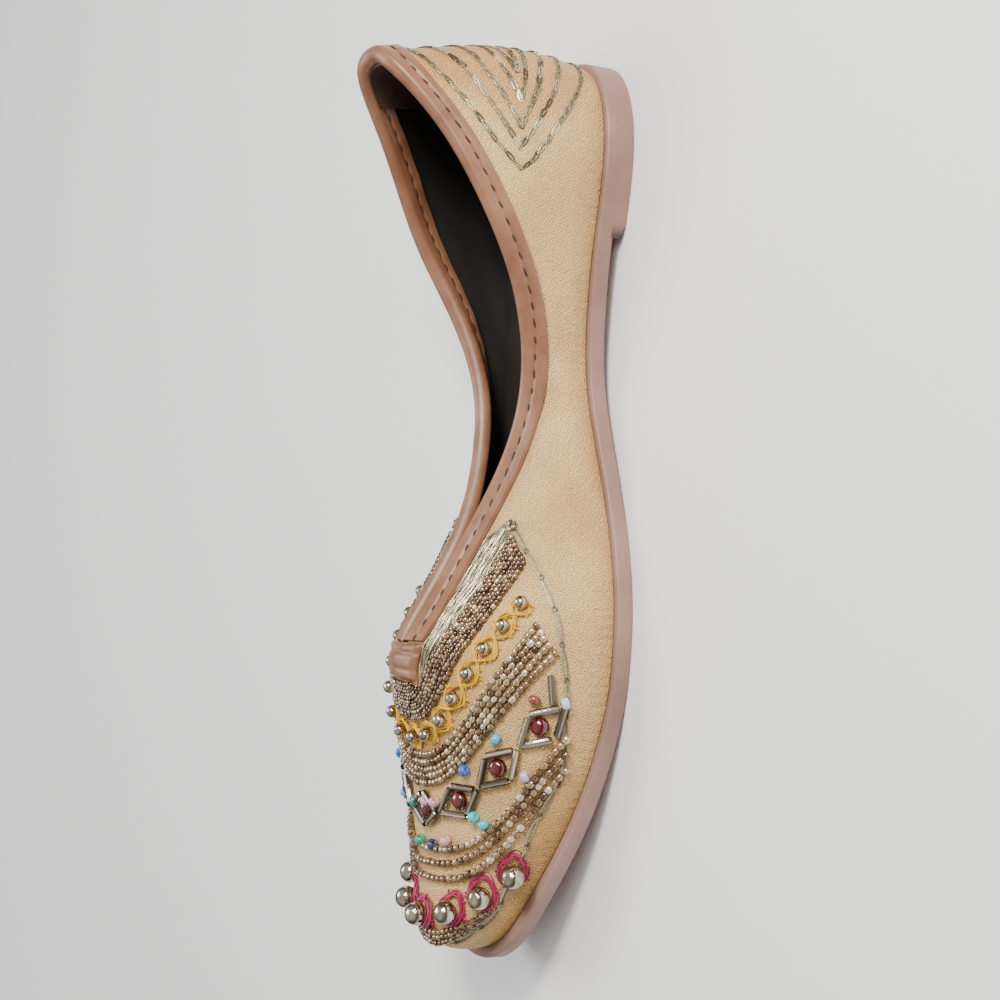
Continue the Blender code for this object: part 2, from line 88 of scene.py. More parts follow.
MAGENTA_STRAND = 0.00027
OUTLINE_STRAND = 0.00023
FILL_STRAND = 0.00016
CHAIN_PITCH = 0.0033
CHAIN_WIDTH = 0.0011
CHAIN_THICKNESS = 0.00045
KNOT_PITCH = 0.0099
TREAD_START = 0.55
TREAD_END = 0.69
SPRING_POWER = 1.4

# Sections of the upper, heel to toe: its foot line on the sole and the edge line of its collar, then its ridge.
HEEL, WAIST, BALL = HEEL_WIDTH / 2, WAIST_WIDTH / 2, BALL_WIDTH / 2
SECTION_COLUMNS = (
    "foot_along", "foot_half", "edge_along", "edge_half", "height", "rise", "flare", "drop", "reach"
)
SECTIONS = (
    (0.000, 0.00 * HEEL, 0.008, 0.00 * HEEL, 1.00 * HEEL_HEIGHT, 0.41, 0.175, 0.28, 0.070),
    (0.012, 0.68 * HEEL, 0.028, 0.38 * HEEL, 0.97 * HEEL_HEIGHT, 0.41, 0.150, 0.28, 0.065),
    (0.088, 1.00 * HEEL, 0.097, 0.69 * HEEL, 0.75 * HEEL_HEIGHT, 0.48, 0.115, 0.30, 0.063),
    (0.190, 0.92 * HEEL, 0.192, 0.85 * HEEL, 0.52 * HEEL_HEIGHT, 0.45, 0.085, 0.30, 0.060),
    (0.280, 1.00 * WAIST, 0.275, 0.90 * WAIST, 1.27 * SIDE_HEIGHT, 0.50, 0.075, 0.28, 0.065),
    (0.362, 1.00 * WAIST, 0.362, 0.62 * WAIST, 0.96 * SIDE_HEIGHT, 0.55, 0.070, 0.20, 0.130),
    (0.442, 0.71 * BALL, 0.450, 0.37 * WAIST, 1.18 * SIDE_HEIGHT, 0.60, 0.068, 0.30, 0.210),
    (0.524, 0.88 * BALL, 0.542, 0.08 * BALL, 0.64 * INSTEP_HEIGHT, 0.50, 0.070, 0.28, 0.290),
    (0.604, 0.99 * BALL, 0.632, 0.07 * BALL, 0.92 * INSTEP_HEIGHT, 0.42, 0.070, 0.19, 0.370),
    (0.688, 1.00 * BALL, 0.684, 0.00 * BALL, 1.00 * INSTEP_HEIGHT, 0.45, 0.070, 0.05, 0.440),
    (0.776, 0.93 * BALL, 0.756, 0.00 * BALL, 0.82 * INSTEP_HEIGHT, 0.50, 0.070, 0.00, 0.460),
    (0.856, 0.78 * BALL, 0.832, 0.00 * BALL, 1.42 * TOE_HEIGHT, 0.52, 0.070, 0.00, 0.425),
    (0.928, 0.56 * BALL, 0.896, 0.00 * BALL, 1.17 * TOE_HEIGHT, 0.52, 0.066, 0.00, 0.350),
    (0.982, 0.33 * BALL, 0.940, 0.00 * BALL, 1.03 * TOE_HEIGHT, 0.55, 0.061, 0.00, 0.290),
    (1.000, 0.00 * BALL, 0.953, 0.00 * BALL, 0.98 * TOE_HEIGHT, 0.58, 0.056, 0.00, 0.250),
)
ODD_COLUMNS = ("foot_half", "edge_half")
LAST_SECTION = len(SECTIONS) - 1
THROAT = 9
BINDING_END = 8.4
TAB_START = 8.45
TAB_END = 9.2
TAB_REACH = 0.87
NEAR, FAR = -1, 1  # the shoe's outer and inner side
LINE_SAMPLES = 161

# Lines of beadwork: tip and end along the shoe, how far out the line stops, and how square it is.
LINES = {
    "band 1 back": (0.7160, 0.5300, 0.430, 3.4),
    "band 1 front": (0.7420, 0.5620, 0.628, 3.0),
    "small balls": (0.7595, 0.6060, 0.714, 2.6),
    "band 2 back": (0.7760, 0.6225, 0.815, 2.7),
    "band 2 front": (0.8170, 0.6560, 0.935, 2.3),
    "stones": (0.8420, 0.7350, 0.878, 2.3),
    "band 3 back": (0.8820, 0.7410, 0.950, 3.0),
    "band 3 front": (0.9220, 0.7840, 0.918, 2.9),
    "large balls": (0.9610, 0.8980, 0.630, 2.0),
    "band 4 back": (0.9760, 0.9435, 0.480, 2.2),
    "band 4 front": (0.9960, 0.9560, 0.425, 2.0),
}


# The upper's own shape


def section_slopes(values, odd):
    count = len(values)
    matrix = np.zeros((count, count))
    right = np.zeros(count)
    for i in range(1, count - 1):
        matrix[i, i - 1 : i + 2] = 1, 4, 1
        right[i] = 3 * (values[i + 1] - values[i - 1])
    for end, inner, sign in ((0, 1, 1), (count - 1, count - 2, -1)):
        matrix[end, end] = 4 if odd else 1
        matrix[end, inner] = 2 if odd else 0
        right[end] = 6 * sign * values[inner] if odd else 0
    return np.linalg.solve(matrix, right)


COLUMNS = {name: np.array([row[i] for row in SECTIONS]) for i, name in enumerate(SECTION_COLUMNS)}
SLOPES = {name: section_slopes(values, name in ODD_COLUMNS) for name, values in COLUMNS.items()}


def column(name, t):
    t = np.clip(np.asarray(t, float), 0, LAST_SECTION)
    row = np.minimum(t.astype(int), LAST_SECTION - 1)
    u = t - row
    a, b = COLUMNS[name][row], COLUMNS[name][row + 1]
    slope_a, slope_b = SLOPES[name][row], SLOPES[name][row + 1]
    rise = b - a
    return a + u * (slope_a + u * (3 * rise - 2 * slope_a - slope_b + u * (slope_a + slope_b - 2 * rise)))


def smooth_step(value):
    value = np.clip(value, 0, 1)
    return value * value * (3 - 2 * value)


def unit(vectors):
    return vectors / np.linalg.norm(vectors, axis=-1, keepdims=True)


def run_along(points):
    """How far along a line each of its points lies."""
    return np.concatenate([[0], np.cumsum(np.linalg.norm(np.diff(points, axis=0), axis=1))])


def sole_height(y):
    arch = smooth_step((TREAD_START * LENGTH - y) / (TREAD_START * LENGTH - BREAST_LENGTH))
    spring = np.clip((y / LENGTH - TREAD_END) / (1 - TREAD_END), 0, None) ** SPRING_POWER
    return HEEL_LIFT * arch + TOE_SPRING * spring


def middle(y):
    return TOE_LEAN * smooth_step((y / LENGTH - TREAD_START) / (1 - TREAD_START))


def foot_line(t, side):
    y = column("foot_along", t) * LENGTH
    x = middle(y) + side * column("foot_half", t)
    return np.stack([x, y, sole_height(y) + OUTSOLE], axis=-1)


def outward(t, side):
    step = 1e-3
    ahead = foot_line(np.minimum(t + step, LAST_SECTION), side)
    behind = foot_line(np.maximum(t - step, 0), side)
    along = ahead - behind
    across = np.stack([side * along[..., 1], -side * along[..., 0], 0 * along[..., 0]], axis=-1)
    return unit(across)


def edge_line(t, side):
    t = np.asarray(t, float)
    y = column("edge_along", t) * LENGTH
    half = np.where(t < THROAT, np.maximum(column("edge_half", t), 0), 0)
    z = sole_height(y) + OUTSOLE + column("height", t)
    return np.stack([middle(y) + side * half, y, z], axis=-1)


def skin(t, v, side):
    """The outer face of the upper: t runs from the heel to the toe and v from the foot line to the edge line."""
    t, v = np.broadcast_arrays(np.asarray(t, float), np.asarray(v, float))
    up = np.array([0.0, 0.0, 1.0])
    foot = foot_line(t, side) + GAP * up
    edge = edge_line(t, side)
    away = outward(t, side)
    height = column("height", t)[..., None]
    low = foot + column("rise", t)[..., None] * height * up + column("flare", t)[..., None] * BALL * away
    high = edge - column("drop", t)[..., None] * height * up + column("reach", t)[..., None] * BALL * away
    v = v[..., None]
    w = 1 - v
    return w**3 * foot + 3 * w * w * v * low + 3 * w * v * v * high + v**3 * edge


def skin_normal(t, v, side):
    step = 1e-3
    t, v = np.broadcast_arrays(np.asarray(t, float), np.asarray(v, float))
    t0, t1 = np.maximum(t - step, 0), np.minimum(t + step, LAST_SECTION)
    v0, v1 = np.maximum(v - step, 0), np.minimum(v + step, 1)
    along = skin(t1, v, side) - skin(t0, v, side)
    rising = skin(t, v1, side) - skin(t, v0, side)
    return unit(np.cross(along, rising) * np.asarray(side)[..., None])


def over(t, v, side, height):
    """Points at a height over the cloth, square to it."""
    height = np.asarray(height, float)
    return skin(t, v, side) + skin_normal(t, v, side) * height[..., None]


def bead_line(name, q):
    tip, end, half, power = LINES[name]
    y = (tip - (tip - end) * np.abs(q) ** power) * LENGTH
    return middle(y) + half * BALL * q, y


def find_on_skin(x, y):
    """The section number, rib share and side of the cloth under places seen from above."""
    x, y = np.atleast_1d(x).astype(float), np.atleast_1d(y).astype(float)
    side = np.where(x > middle(y), FAR, NEAR)
    row = np.linspace(0, LAST_SECTION, 200)
    t = np.interp(y, skin(row, 0.8, NEAR)[:, 1], row)
    v = np.full_like(t, 0.8)
    step = 1e-4
    for _ in range(30):
        here = skin(t, v, side)
        by_t = (here - skin(t - step, v, side)) / step
        by_v = (here - skin(t, v - step, side)) / step
        dx, dy = x - here[:, 0], y - here[:, 1]
        scale = by_t[:, 0] * by_v[:, 1] - by_t[:, 1] * by_v[:, 0]
        scale = np.where(np.abs(scale) < 1e-9, 1e-9, scale)
        t_change = (dx * by_v[:, 1] - dy * by_v[:, 0]) / scale
        v_change = (dy * by_t[:, 0] - dx * by_t[:, 1]) / scale
        t = np.clip(t + np.clip(t_change, -0.4, 0.4), 0, LAST_SECTION - step)
        v = np.clip(v + np.clip(v_change, -0.1, 0.1), step, 1)
    return t, v, side


def on_cloth(x, y):
    """The places on the cloth under places seen from above, and the normals there."""
    found = find_on_skin(x, y)
    return skin(*found), skin_normal(*found)


def rib_length(t, side):
    """Length of the cloth along a section."""
    t = np.asarray(t, float)
    v = np.linspace(0, 1, 25)
    points = skin(t[..., None] + 0 * v, v + 0 * t[..., None], side)
    return np.linalg.norm(np.diff(points, axis=-2), axis=-1).sum(axis=-1)


# The model stands with the middle of its box over the origin, so the heel end of the foot line lies behind it.
heel_low, heel_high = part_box("heel_lift")
sole_low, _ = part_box("outsole")
SHIFT = np.array([(heel_low[0] + heel_high[0]) / 2, sole_low[1] + SOLE_MARGIN, 0.0])


# Materials


def add_node(material, kind, **values):
    """A shader node. Values name its settings or its sockets, with _ for a space."""
    node = material.node_tree.nodes.new("ShaderNode" + kind)
    for key, value in values.items():
        socket = key.replace("_", " ")
        if socket in node.inputs:
            node.inputs[socket].default_value = value
        else:
            setattr(node, key, value)
    return node


def join_nodes(material, *links):
    for source, source_socket, target, target_socket in links:
        material.node_tree.links.new(source.outputs[source_socket], target.inputs[target_socket])


def plain_material(name, roughness, metallic=0.0, **sockets):
    material = bpy.data.materials.new(name)
    material.use_nodes = True
    shader = material.node_tree.nodes["Principled BSDF"]
    shader.inputs["Roughness"].default_value = roughness
    shader.inputs["Metallic"].default_value = metallic
    for key, value in sockets.items():
        shader.inputs[key.replace("_", " ")].default_value = value
    return material, shader


def colours(material, stops):
    """A colour ramp from (place, colour) stops."""
    ramp = add_node(material, "ValToRGB")
    elements = ramp.color_ramp.elements
    while len(elements) < len(stops):
        elements.new(0.5)
    for element, (place, colour) in zip(elements, stops):
        element.position = place
        element.color = (*colour, 1.0)
    return ramp


def grained(name, dark, light, drift, grain, depth, roughness, stretch=(1, 1, 1), metallic=0.0, **sockets):
    """A material that drifts between two tones, with a fine grain on its surface."""
    material, shader = plain_material(name, roughness, metallic, **sockets)
    place = add_node(material, "TexCoord")
    turn = add_node(material, "Mapping", Scale=stretch)
    cloud = add_node(material, "TexNoise", Scale=drift, Detail=5.0, Roughness=0.6)
    ramp = colours(material, [(0.32, dark), (0.68, light)])
    pores = add_node(material, "TexNoise", Scale=grain, Detail=4.0, Roughness=0.55)
    bump = add_node(material, "Bump", Strength=0.6, Distance=depth)
    gloss = add_node(material, "MapRange", To_Min=roughness - 0.08, To_Max=roughness + 0.1)
    join_nodes(
        material,
        (place, "Object", turn, "Vector"),
        (turn, "Vector", cloud, "Vector"),
        (turn, "Vector", pores, "Vector"),
        (cloud, "Fac", ramp, "Fac"),
        (ramp, "Color", shader, "Base Color"),
        (pores, "Fac", bump, "Height"),
        (bump, "Normal", shader, "Normal"),
        (pores, "Fac", gloss, "Value"),
        (gloss, "Result", shader, "Roughness"),
    )
    return material


def toned(name, stops, roughness, metallic=0.0, bump_scale=0.0, depth=0.0, **sockets):
    """A material whose colour is picked for each small piece by its own tone."""
    material, shader = plain_material(name, roughness, metallic, **sockets)
    tone = add_node(material, "Attribute", attribute_name="tone")
    ramp = colours(material, stops)
    join_nodes(material, (tone, "Fac", ramp, "Fac"), (ramp, "Color", shader, "Base Color"))
    if bump_scale:
        place = add_node(material, "TexCoord")
        noise = add_node(material, "TexNoise", Scale=bump_scale, Detail=3.0)
        bump = add_node(material, "Bump", Strength=0.7, Distance=depth)
        join_nodes(
            material,
            (place, "Object", noise, "Vector"),
            (noise, "Fac", bump, "Height"),
            (bump, "Normal", shader, "Normal"),
        )
    return material


def brocade_material():
    """Pale gold cloth: a slanted twill over cross ribs with painted glints and painted shade on its ribs, small
    puckers along the sole, deeper gold at the heel, darker towards the sole, and painted shade on the toe's lower
    sides and in a crease."""
    material, shader = plain_material("gold brocade", 0.5, Sheen_Weight=0.1, Sheen_Roughness=0.4)
    shader.inputs["Sheen Tint"].default_value = (1.0, 0.85, 0.6, 1.0)
    cloth = add_node(material, "UVMap", uv_map="cloth")
    place = add_node(material, "TexCoord")
    parts = add_node(material, "SeparateXYZ")
    twill_turn = add_node(material, "Mapping", Rotation=(0, 0, math.radians(58)))
    twill = add_node(material, "TexWave", Scale=420.0, Distortion=7.0, Detail=3.0, Detail_Scale=2.2)
    rib_turn = add_node(material, "Mapping", Rotation=(0, 0, math.radians(-12)))
    rib = add_node(material, "TexWave", Scale=380.0, Distortion=5.0, Detail=2.0, Detail_Scale=1.8)
    pucker = add_node(material, "TexWave", Scale=125.0, Distortion=2.0, Detail=1.0, Detail_Scale=0.6)
    thread = add_node(material, "TexNoise", Scale=1500.0, Detail=3.0)
    cloud = add_node(material, "TexNoise", Scale=42.0, Detail=4.0, Roughness=0.55)
    weave = add_node(material, "Mix", data_type="FLOAT", Factor=0.3)
    surface = add_node(material, "Mix", data_type="FLOAT", Factor=0.35)
    base = colours(material, [(0.3, (0.62, 0.395, 0.155)), (0.7, (0.82, 0.565, 0.250))])
    # The weave's light and dark lines are its thread pattern, with painted glints and painted shade on its ribs; the
    # top colour is brighter than the cloth itself.
    lines = colours(material, [(0.22, (0.48, 0.40, 0.30)), (0.5, (0.90, 0.87, 0.81)), (0.78, (1.18, 1.15, 1.08))])
    # Darker towards the sole, over the 8 mm of cloth next to the foot line.
    deep = add_node(material, "MapRange", From_Min=0.0005, From_Max=0.008, To_Min=0.6, To_Max=0.0)
    cloth_tone = add_node(material, "Attribute", attribute_name="tone")
    deepening_and_shade = add_node(material, "Math", operation="MAXIMUM")
    lifted = add_node(material, "Math", operation="MULTIPLY")
    relief = add_node(material, "Math", operation="ADD")
    weave_with_glints = add_node(material, "Mix", data_type="RGBA", blend_type="MULTIPLY")
    # Deepens the colour by the larger of the darkening towards the sole and the tone attribute, which holds the
    # heel's deeper gold and painted shade on the toe's lower sides and in a crease.
    edge = add_node(material, "Mix", data_type="RGBA", blend_type="MULTIPLY")
    weave_with_glints.inputs["Factor"].default_value = 0.85
    edge.inputs[7].default_value = (0.72, 0.58, 0.40, 1.0)
    gloss = add_node(material, "MapRange", To_Min=0.62, To_Max=0.36)
    bump = add_node(material, "Bump", Strength=0.75, Distance=0.0004)
    join_nodes(
        material,
        (cloth, "UV", parts, "Vector"),
        (cloth, "UV", twill_turn, "Vector"),
        (cloth, "UV", rib_turn, "Vector"),
        (cloth, "UV", pucker, "Vector"),
        (twill_turn, "Vector", twill, "Vector"),
        (rib_turn, "Vector", rib, "Vector"),
        (place, "Object", thread, "Vector"),
        (place, "Object", cloud, "Vector"),
        (cloud, "Fac", base, "Fac"),
        (surface, 0, lines, "Fac"),
        (base, "Color", weave_with_glints, 6),
        (lines, "Color", weave_with_glints, 7),
        (parts, "Y", deep, "Value"),
        (deep, "Result", deepening_and_shade, 0),
        (cloth_tone, "Fac", deepening_and_shade, 1),
        (deepening_and_shade, "Value", edge, 0),
        (weave_with_glints, 2, edge, 6),
        (edge, 2, shader, "Base Color"),
        (twill, "Fac", weave, 2),
        (rib, "Fac", weave, 3),
        (weave, 0, surface, 2),
        (thread, "Fac", surface, 3),
        (pucker, "Fac", lifted, 0),
        (deep, "Result", lifted, 1),
        (surface, 0, relief, 0),
        (lifted, "Value", relief, 1),
        (relief, "Value", bump, "Height"),
        (bump, "Normal", shader, "Normal"),
        (surface, 0, gloss, "Value"),
        (gloss, "Result", shader, "Roughness"),
    )
    return material


BROCADE = brocade_material()
# The lining's own dark colour, deepened to near black as painted shade inside the shoe.
LINING = grained("dark lining with painted shade", (0.0025, 0.0018, 0.0014), (0.010, 0.007, 0.0055), 60, 1400, 0.00006, 0.85)
HEEL_LINING = grained("brown heel lining", (0.030, 0.012, 0.006), (0.070, 0.032, 0.018), 70, 1300, 0.00006, 0.55)
INSOLE_LEATHER = grained("insole leather", (0.006, 0.004, 0.003), (0.020, 0.013, 0.010), 55, 1100, 0.00008, 0.7)
BINDING_LEATHER = grained(
    "rose brown leather", (0.185, 0.072, 0.032), (0.300, 0.138, 0.074), 85, 1500, 0.00009, 0.42,
    Coat_Weight=0.15, Coat_Roughness=0.32,
)
SOLE_TONES = (0.235, 0.122, 0.090), (0.360, 0.218, 0.178)
SOLE_LEATHER = grained("mauve sole leather", *SOLE_TONES, 28, 900, 0.00005, 0.48)
HEEL_RUBBER = grained("mauve heel block", *SOLE_TONES, 28, 900, 0.00005, 0.48)
HOLES = grained("dark stitching", (0.022, 0.008, 0.004), (0.06, 0.024, 0.014), 300, 2500, 0.00004, 0.7)
SEEDS = toned(
    "silver lined seed beads",
    [(0.0, (0.065, 0.028, 0.010)), (0.3, (0.165, 0.088, 0.038)), (0.55, (0.31, 0.185, 0.090)),
     (0.8, (0.44, 0.32, 0.17)), (1.0, (0.80, 0.68, 0.48))],
    0.13, 0.6, 1100.0, 0.00012, Coat_Weight=1.0, Coat_Roughness=0.04,
)
METAL = grained(
    "pale gold metal", (0.30, 0.25, 0.17), (0.66, 0.59, 0.46), 420, 430, 0.0004, 0.11, metallic=1.0
)
RED_GLASS = grained(
    "red glass", (0.030, 0.0, 0.0005), (0.13, 0.0, 0.002), 240, 700, 0.00003, 0.1,
    Coat_Weight=1.0, Coat_Roughness=0.03, IOR=1.6,
)
SMOKE_GLASS = toned(
    "smoke glass",
    [(0.0, (0.022, 0.014, 0.008)), (0.4, (0.10, 0.072, 0.045)), (0.7, (0.26, 0.21, 0.145)),
     (1.0, (0.74, 0.66, 0.53))],
    0.14, 0.7, 1300.0, 0.00008, Coat_Weight=1.0, Coat_Roughness=0.04,
)
YELLOW_SILK = toned(
    "yellow silk", [(0.0, (0.44, 0.17, 0.0)), (0.5, (0.76, 0.40, 0.0)), (1.0, (0.95, 0.60, 0.0))],
    0.5, 0.0, 2600.0, 0.00008, Sheen_Weight=0.15,
)
MAGENTA_SILK = toned(
    "magenta silk", [(0.0, (0.09, 0.0, 0.010)), (0.5, (0.27, 0.0, 0.045)), (1.0, (0.50, 0.002, 0.105))],
    0.5, 0.0, 2600.0, 0.00008, Sheen_Weight=0.15,
)
ZARI = toned(
    "zari thread",
    [(0.0, (0.085, 0.070, 0.036)), (0.45, (0.26, 0.23, 0.15)), (0.8, (0.55, 0.50, 0.36)),
     (1.0, (0.92, 0.86, 0.70))],
    0.28, 0.65, 1800.0, 0.00010,
)
COLOURED_GLASS = toned(
    "coloured bead glass",
    [(0.00, (0.20, 0.045, 0.028)), (0.11, (0.55, 0.62, 0.78)), (0.22, (0.03, 0.38, 0.80)),
     (0.33, (0.025, 0.10, 0.50)), (0.44, (0.58, 0.36, 0.60)), (0.55, (0.0, 0.50, 0.56)),
     (0.66, (0.62, 0.33, 0.34)), (0.77, (0.0, 0.27, 0.20)), (0.88, (0.035, 0.015, 0.09)), (1.0, (0.015, 0.30, 0.14))],
    0.22, 0.0, 0.0, 0.0, Coat_Weight=0.8, Coat_Roughness=0.05,
)


def paint_breast_shade():
    """Painted shade on the front of the heel block, darker towards the breast."""
    shader = HEEL_RUBBER.node_tree.nodes["Principled BSDF"]
    block_colour = shader.inputs["Base Color"].links[0].from_socket
    place = add_node(HEEL_RUBBER, "TexCoord")
    parts = add_node(HEEL_RUBBER, "SeparateXYZ")
    front = SHIFT[1] + BREAST_LENGTH
    ahead = add_node(
        HEEL_RUBBER, "MapRange", From_Min=front - 0.0035, From_Max=front - 0.0005, To_Min=0.0, To_Max=0.9
    )
    breast_shaded = add_node(HEEL_RUBBER, "Mix", data_type="RGBA", blend_type="MIX")
    # The colour of the painted shade at the breast.
    breast_shaded.inputs[7].default_value = (0.035, 0.018, 0.012, 1.0)
    join_nodes(
        HEEL_RUBBER,
        (place, "Object", parts, "Vector"),
        (parts, "Y", ahead, "Value"),
        (ahead, "Result", breast_shaded, 0),
        (breast_shaded, 2, shader, "Base Color"),
    )
    HEEL_RUBBER.node_tree.links.new(block_colour, breast_shaded.inputs[6])


paint_breast_shade()


# Making pieces


def pick(obj):
    """Makes this the one selected object."""
    if bpy.context.object and bpy.context.object.mode != "OBJECT":
        bpy.ops.object.mode_set(mode="OBJECT")
    bpy.ops.object.select_all(action="DESELECT")
    obj.select_set(True)
    bpy.context.view_layer.objects.active = obj


def add_tone(mesh, tones):
    layer = mesh.attributes.new("tone", "FLOAT", "POINT")
    layer.data.foreach_set("value", np.asarray(tones, np.float32).ravel())


def sheet_piece(name, points, measure=None, tones=None):
    """A grid of cloth or leather laid through points[row, column], in the shoe's own place, with its own lengths
    as a map where measure gives them and a tone for each point where tones does."""
    rows, columns = points.shape[:2]
    bpy.ops.object.select_all(action="DESELECT")
    bpy.ops.mesh.primitive_grid_add(x_subdivisions=columns - 1, y_subdivisions=rows - 1, size=1.0)
    obj = bpy.context.object
    obj.name = obj.data.name = name
    obj.data.vertices.foreach_set("co", (points.reshape(-1, 3) + SHIFT).astype(np.float32).ravel())
    if measure is not None:
        layer = obj.data.uv_layers[0]
        layer.name = "cloth"
        corner = np.empty(len(obj.data.loops), np.int32)
        obj.data.loops.foreach_get("vertex_index", corner)
        layer.data.foreach_set("uv", measure.reshape(-1, 2)[corner].astype(np.float32).ravel())
    if tones is not None:
        add_tone(obj.data, tones)
    obj.data.update()
    return obj


def join_pieces(name, pieces):
    pick(pieces[0])
    for piece in pieces[1:]:
        piece.select_set(True)
    bpy.ops.object.join()
    obj = bpy.context.object
    obj.name = obj.data.name = name
    return obj


def tidy_mesh(obj, turn_out=True, fill=False):
    """Merges the doubled seams, closes open ends and points the faces outwards."""
    pick(obj)
    bpy.ops.object.mode_set(mode="EDIT")
    bpy.ops.mesh.select_mode(type="VERT")
    bpy.ops.mesh.select_all(action="SELECT")
    bpy.ops.mesh.remove_doubles(threshold=0.000004)
    if fill:
        bpy.ops.mesh.select_all(action="DESELECT")
        bpy.ops.mesh.select_non_manifold()
        bpy.ops.mesh.fill()
        bpy.ops.mesh.select_all(action="SELECT")
    if turn_out:
        bpy.ops.mesh.normals_make_consistent(inside=False)
    bpy.ops.object.mode_set(mode="OBJECT")


def apply_modifier(obj, kind, **settings):
    pick(obj)
    modifier = obj.modifiers.new("finish", kind)
    for key, value in settings.items():
        setattr(modifier, key, value)
    bpy.ops.object.modifier_apply(modifier=modifier.name)


def dress(obj, material, slot, *nodes, angle=35):
    """Gives a finished piece its material and lets it stand for its solids. The slot is not used."""
    obj.data.materials.clear()
    obj.data.materials.append(material)
    pick(obj)
    bpy.ops.object.shade_smooth_by_angle(angle=math.radians(angle))
    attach(obj, "root")
    if nodes:
        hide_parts(*nodes)
    return obj


def mesh_object(name, points, faces, tones):
    mesh = bpy.data.meshes.new(name)
    mesh.from_pydata(points, [], faces)
    add_tone(mesh, tones)
    obj = bpy.data.objects.new(name, mesh)
    bpy.context.scene.collection.objects.link(obj)
    return obj


def ring_faces(rings, sides, looped=False):
    """Faces between rings of corners. The two ends are closed, or joined to each other where looped."""
    count = rings * sides
    faces = []
    for start in range(0, count if looped else count - sides, sides):
        for k in range(sides):
            a, b = start + k, start + (k + 1) % sides
            faces.append([a, b, (b + sides) % count, (a + sides) % count])
    if not looped:
        faces += [list(range(sides))[::-1], list(range(count - sides, count))]
    return faces


def turned(profile, sides, looped=False, upright=False):
    """Corners and faces of a small piece turned round X, or round Z where upright, from its (place, radius)."""
    angle = np.arange(sides) * math.tau / sides
    place, radius = np.array(profile).T[..., None]
    across = [radius * np.cos(angle), radius * np.sin(angle)]
    along = [place + 0 * angle]
    points = np.stack(across + along if upright else along + across, axis=-1)
    return points.reshape(-1, 3), ring_faces(len(profile), sides, looped)


def torus(major_segments, minor_segments, major_radius, minor_radius, stretch):
    """A round bead with its hole along X."""
    return template(
        lambda: bpy.ops.mesh.primitive_torus_add(
            major_segments=major_segments, minor_segments=minor_segments,
            major_radius=major_radius, minor_radius=minor_radius,
        ),
        lambda points: points[:, [2, 1, 0]] * np.array([stretch, 1.0, -1.0]),
    )


def template(make, shape=None):
    """The corners and faces of a small piece modelled once, to be copied."""
    bpy.ops.object.select_all(action="DESELECT")
    make()
    obj = bpy.context.object
    points = np.array([vertex.co[:] for vertex in obj.data.vertices])
    faces = [list(polygon.vertices) for polygon in obj.data.polygons]
    bpy.data.objects.remove(obj, do_unlink=True)
    if shape:
        points = shape(points)
    return points, faces


def copies(name, pattern, places, forward, normal, sizes, tones, own_tones=0.0):
    """Copies of a pattern joined in one mesh. Its X lies along forward and its Z along the normal. own_tones are
    added to the tone of each copy, one for each corner of the pattern."""
    points, faces = pattern
    places, forward, normal = np.atleast_2d(places), np.atleast_2d(forward), np.atleast_2d(normal)
    count = len(places)
    sizes = np.broadcast_to(np.asarray(sizes, float), (count, 3))
    forward = unit(forward)
    sideways = unit(np.cross(normal, forward))
    axes = np.stack([forward, sideways, np.cross(forward, sideways)], axis=1)
    moved = np.einsum("ka,nab->nkb", points, sizes[:, :, None] * axes) + places[:, None] + SHIFT
    step = len(points)
    all_faces = [[corner + i * step for corner in face] for i in range(count) for face in faces]
    all_tones = np.broadcast_to(tones, count)[:, None] + np.broadcast_to(own_tones, step)[None, :]
    return mesh_object(name, moved.reshape(-1, 3).tolist(), all_faces, all_tones)


class Path:
    """A line on the cloth, walked by its length."""

    def __init__(self, t, v, side):
        t, v, side = np.broadcast_arrays(t, v, side)
        self.points = skin(t, v, side)
        self.normals = skin_normal(t, v, side)
        self.run = run_along(self.points)
        self.length = self.run[-1]

    def at(self, distance):
        """Places, directions along and normals at distances from the start."""
        distance = np.asarray(distance, float)
        read = lambda values, d: np.stack([np.interp(d, self.run, values[:, k]) for k in range(3)], axis=-1)
        place = read(self.points, distance)
        step = 2e-4
        forward = read(self.points, np.minimum(distance + step, self.length))
        forward = forward - read(self.points, np.maximum(distance - step, 0))
        return place, unit(forward), unit(read(self.normals, distance))

    def even(self, pitch, margin=0.0):
        count = max(2, round((self.length - 2 * margin) / pitch) + 1)
        return np.linspace(margin, self.length - margin, count)


def path_seen(x, y):
    return Path(*find_on_skin(x, y))


def line_path(name):
    return path_seen(*bead_line(name, np.linspace(-1, 1, LINE_SAMPLES)))


def thread_mesh(name, paths, radius, tones, sides=4):
    """Round threads along paths, each an array of points in the shoe's own place."""
    points, faces, tone_of = [], [], []
    for path, tone in zip(paths, tones):
        ahead = unit(np.gradient(path, axis=0))
        across = unit(np.cross(ahead, np.array([0.05, 0.1, 1.0])))
        up = np.cross(across, ahead)
        angle = np.arange(sides) * math.tau / sides
        ring = across[:, None] * np.cos(angle)[:, None] + up[:, None] * np.sin(angle)[:, None]
        base = len(points)
        points += (path[:, None] + ring * radius + SHIFT).reshape(-1, 3).tolist()
        tone_of += [tone] * (len(path) * sides)
        faces += [[base + corner for corner in face] for face in ring_faces(len(path), sides)]
    obj = mesh_object(name, points, faces, tone_of)
    tidy_mesh(obj)
    return obj


# Camera, floor and light

FOCAL = 2020.0
DISTANCE = 0.5744
CAMERA_LIFT, CAMERA_TURN, CAMERA_ROLL = math.radians(31.18), math.radians(-0.76), math.radians(-3.31)
AIM = np.array([0.0, 0.127, 0.020])
AIM_PIXEL = np.array([390.88, 496.75])
SHOE_PIXEL = np.array([391.0, 483.0])


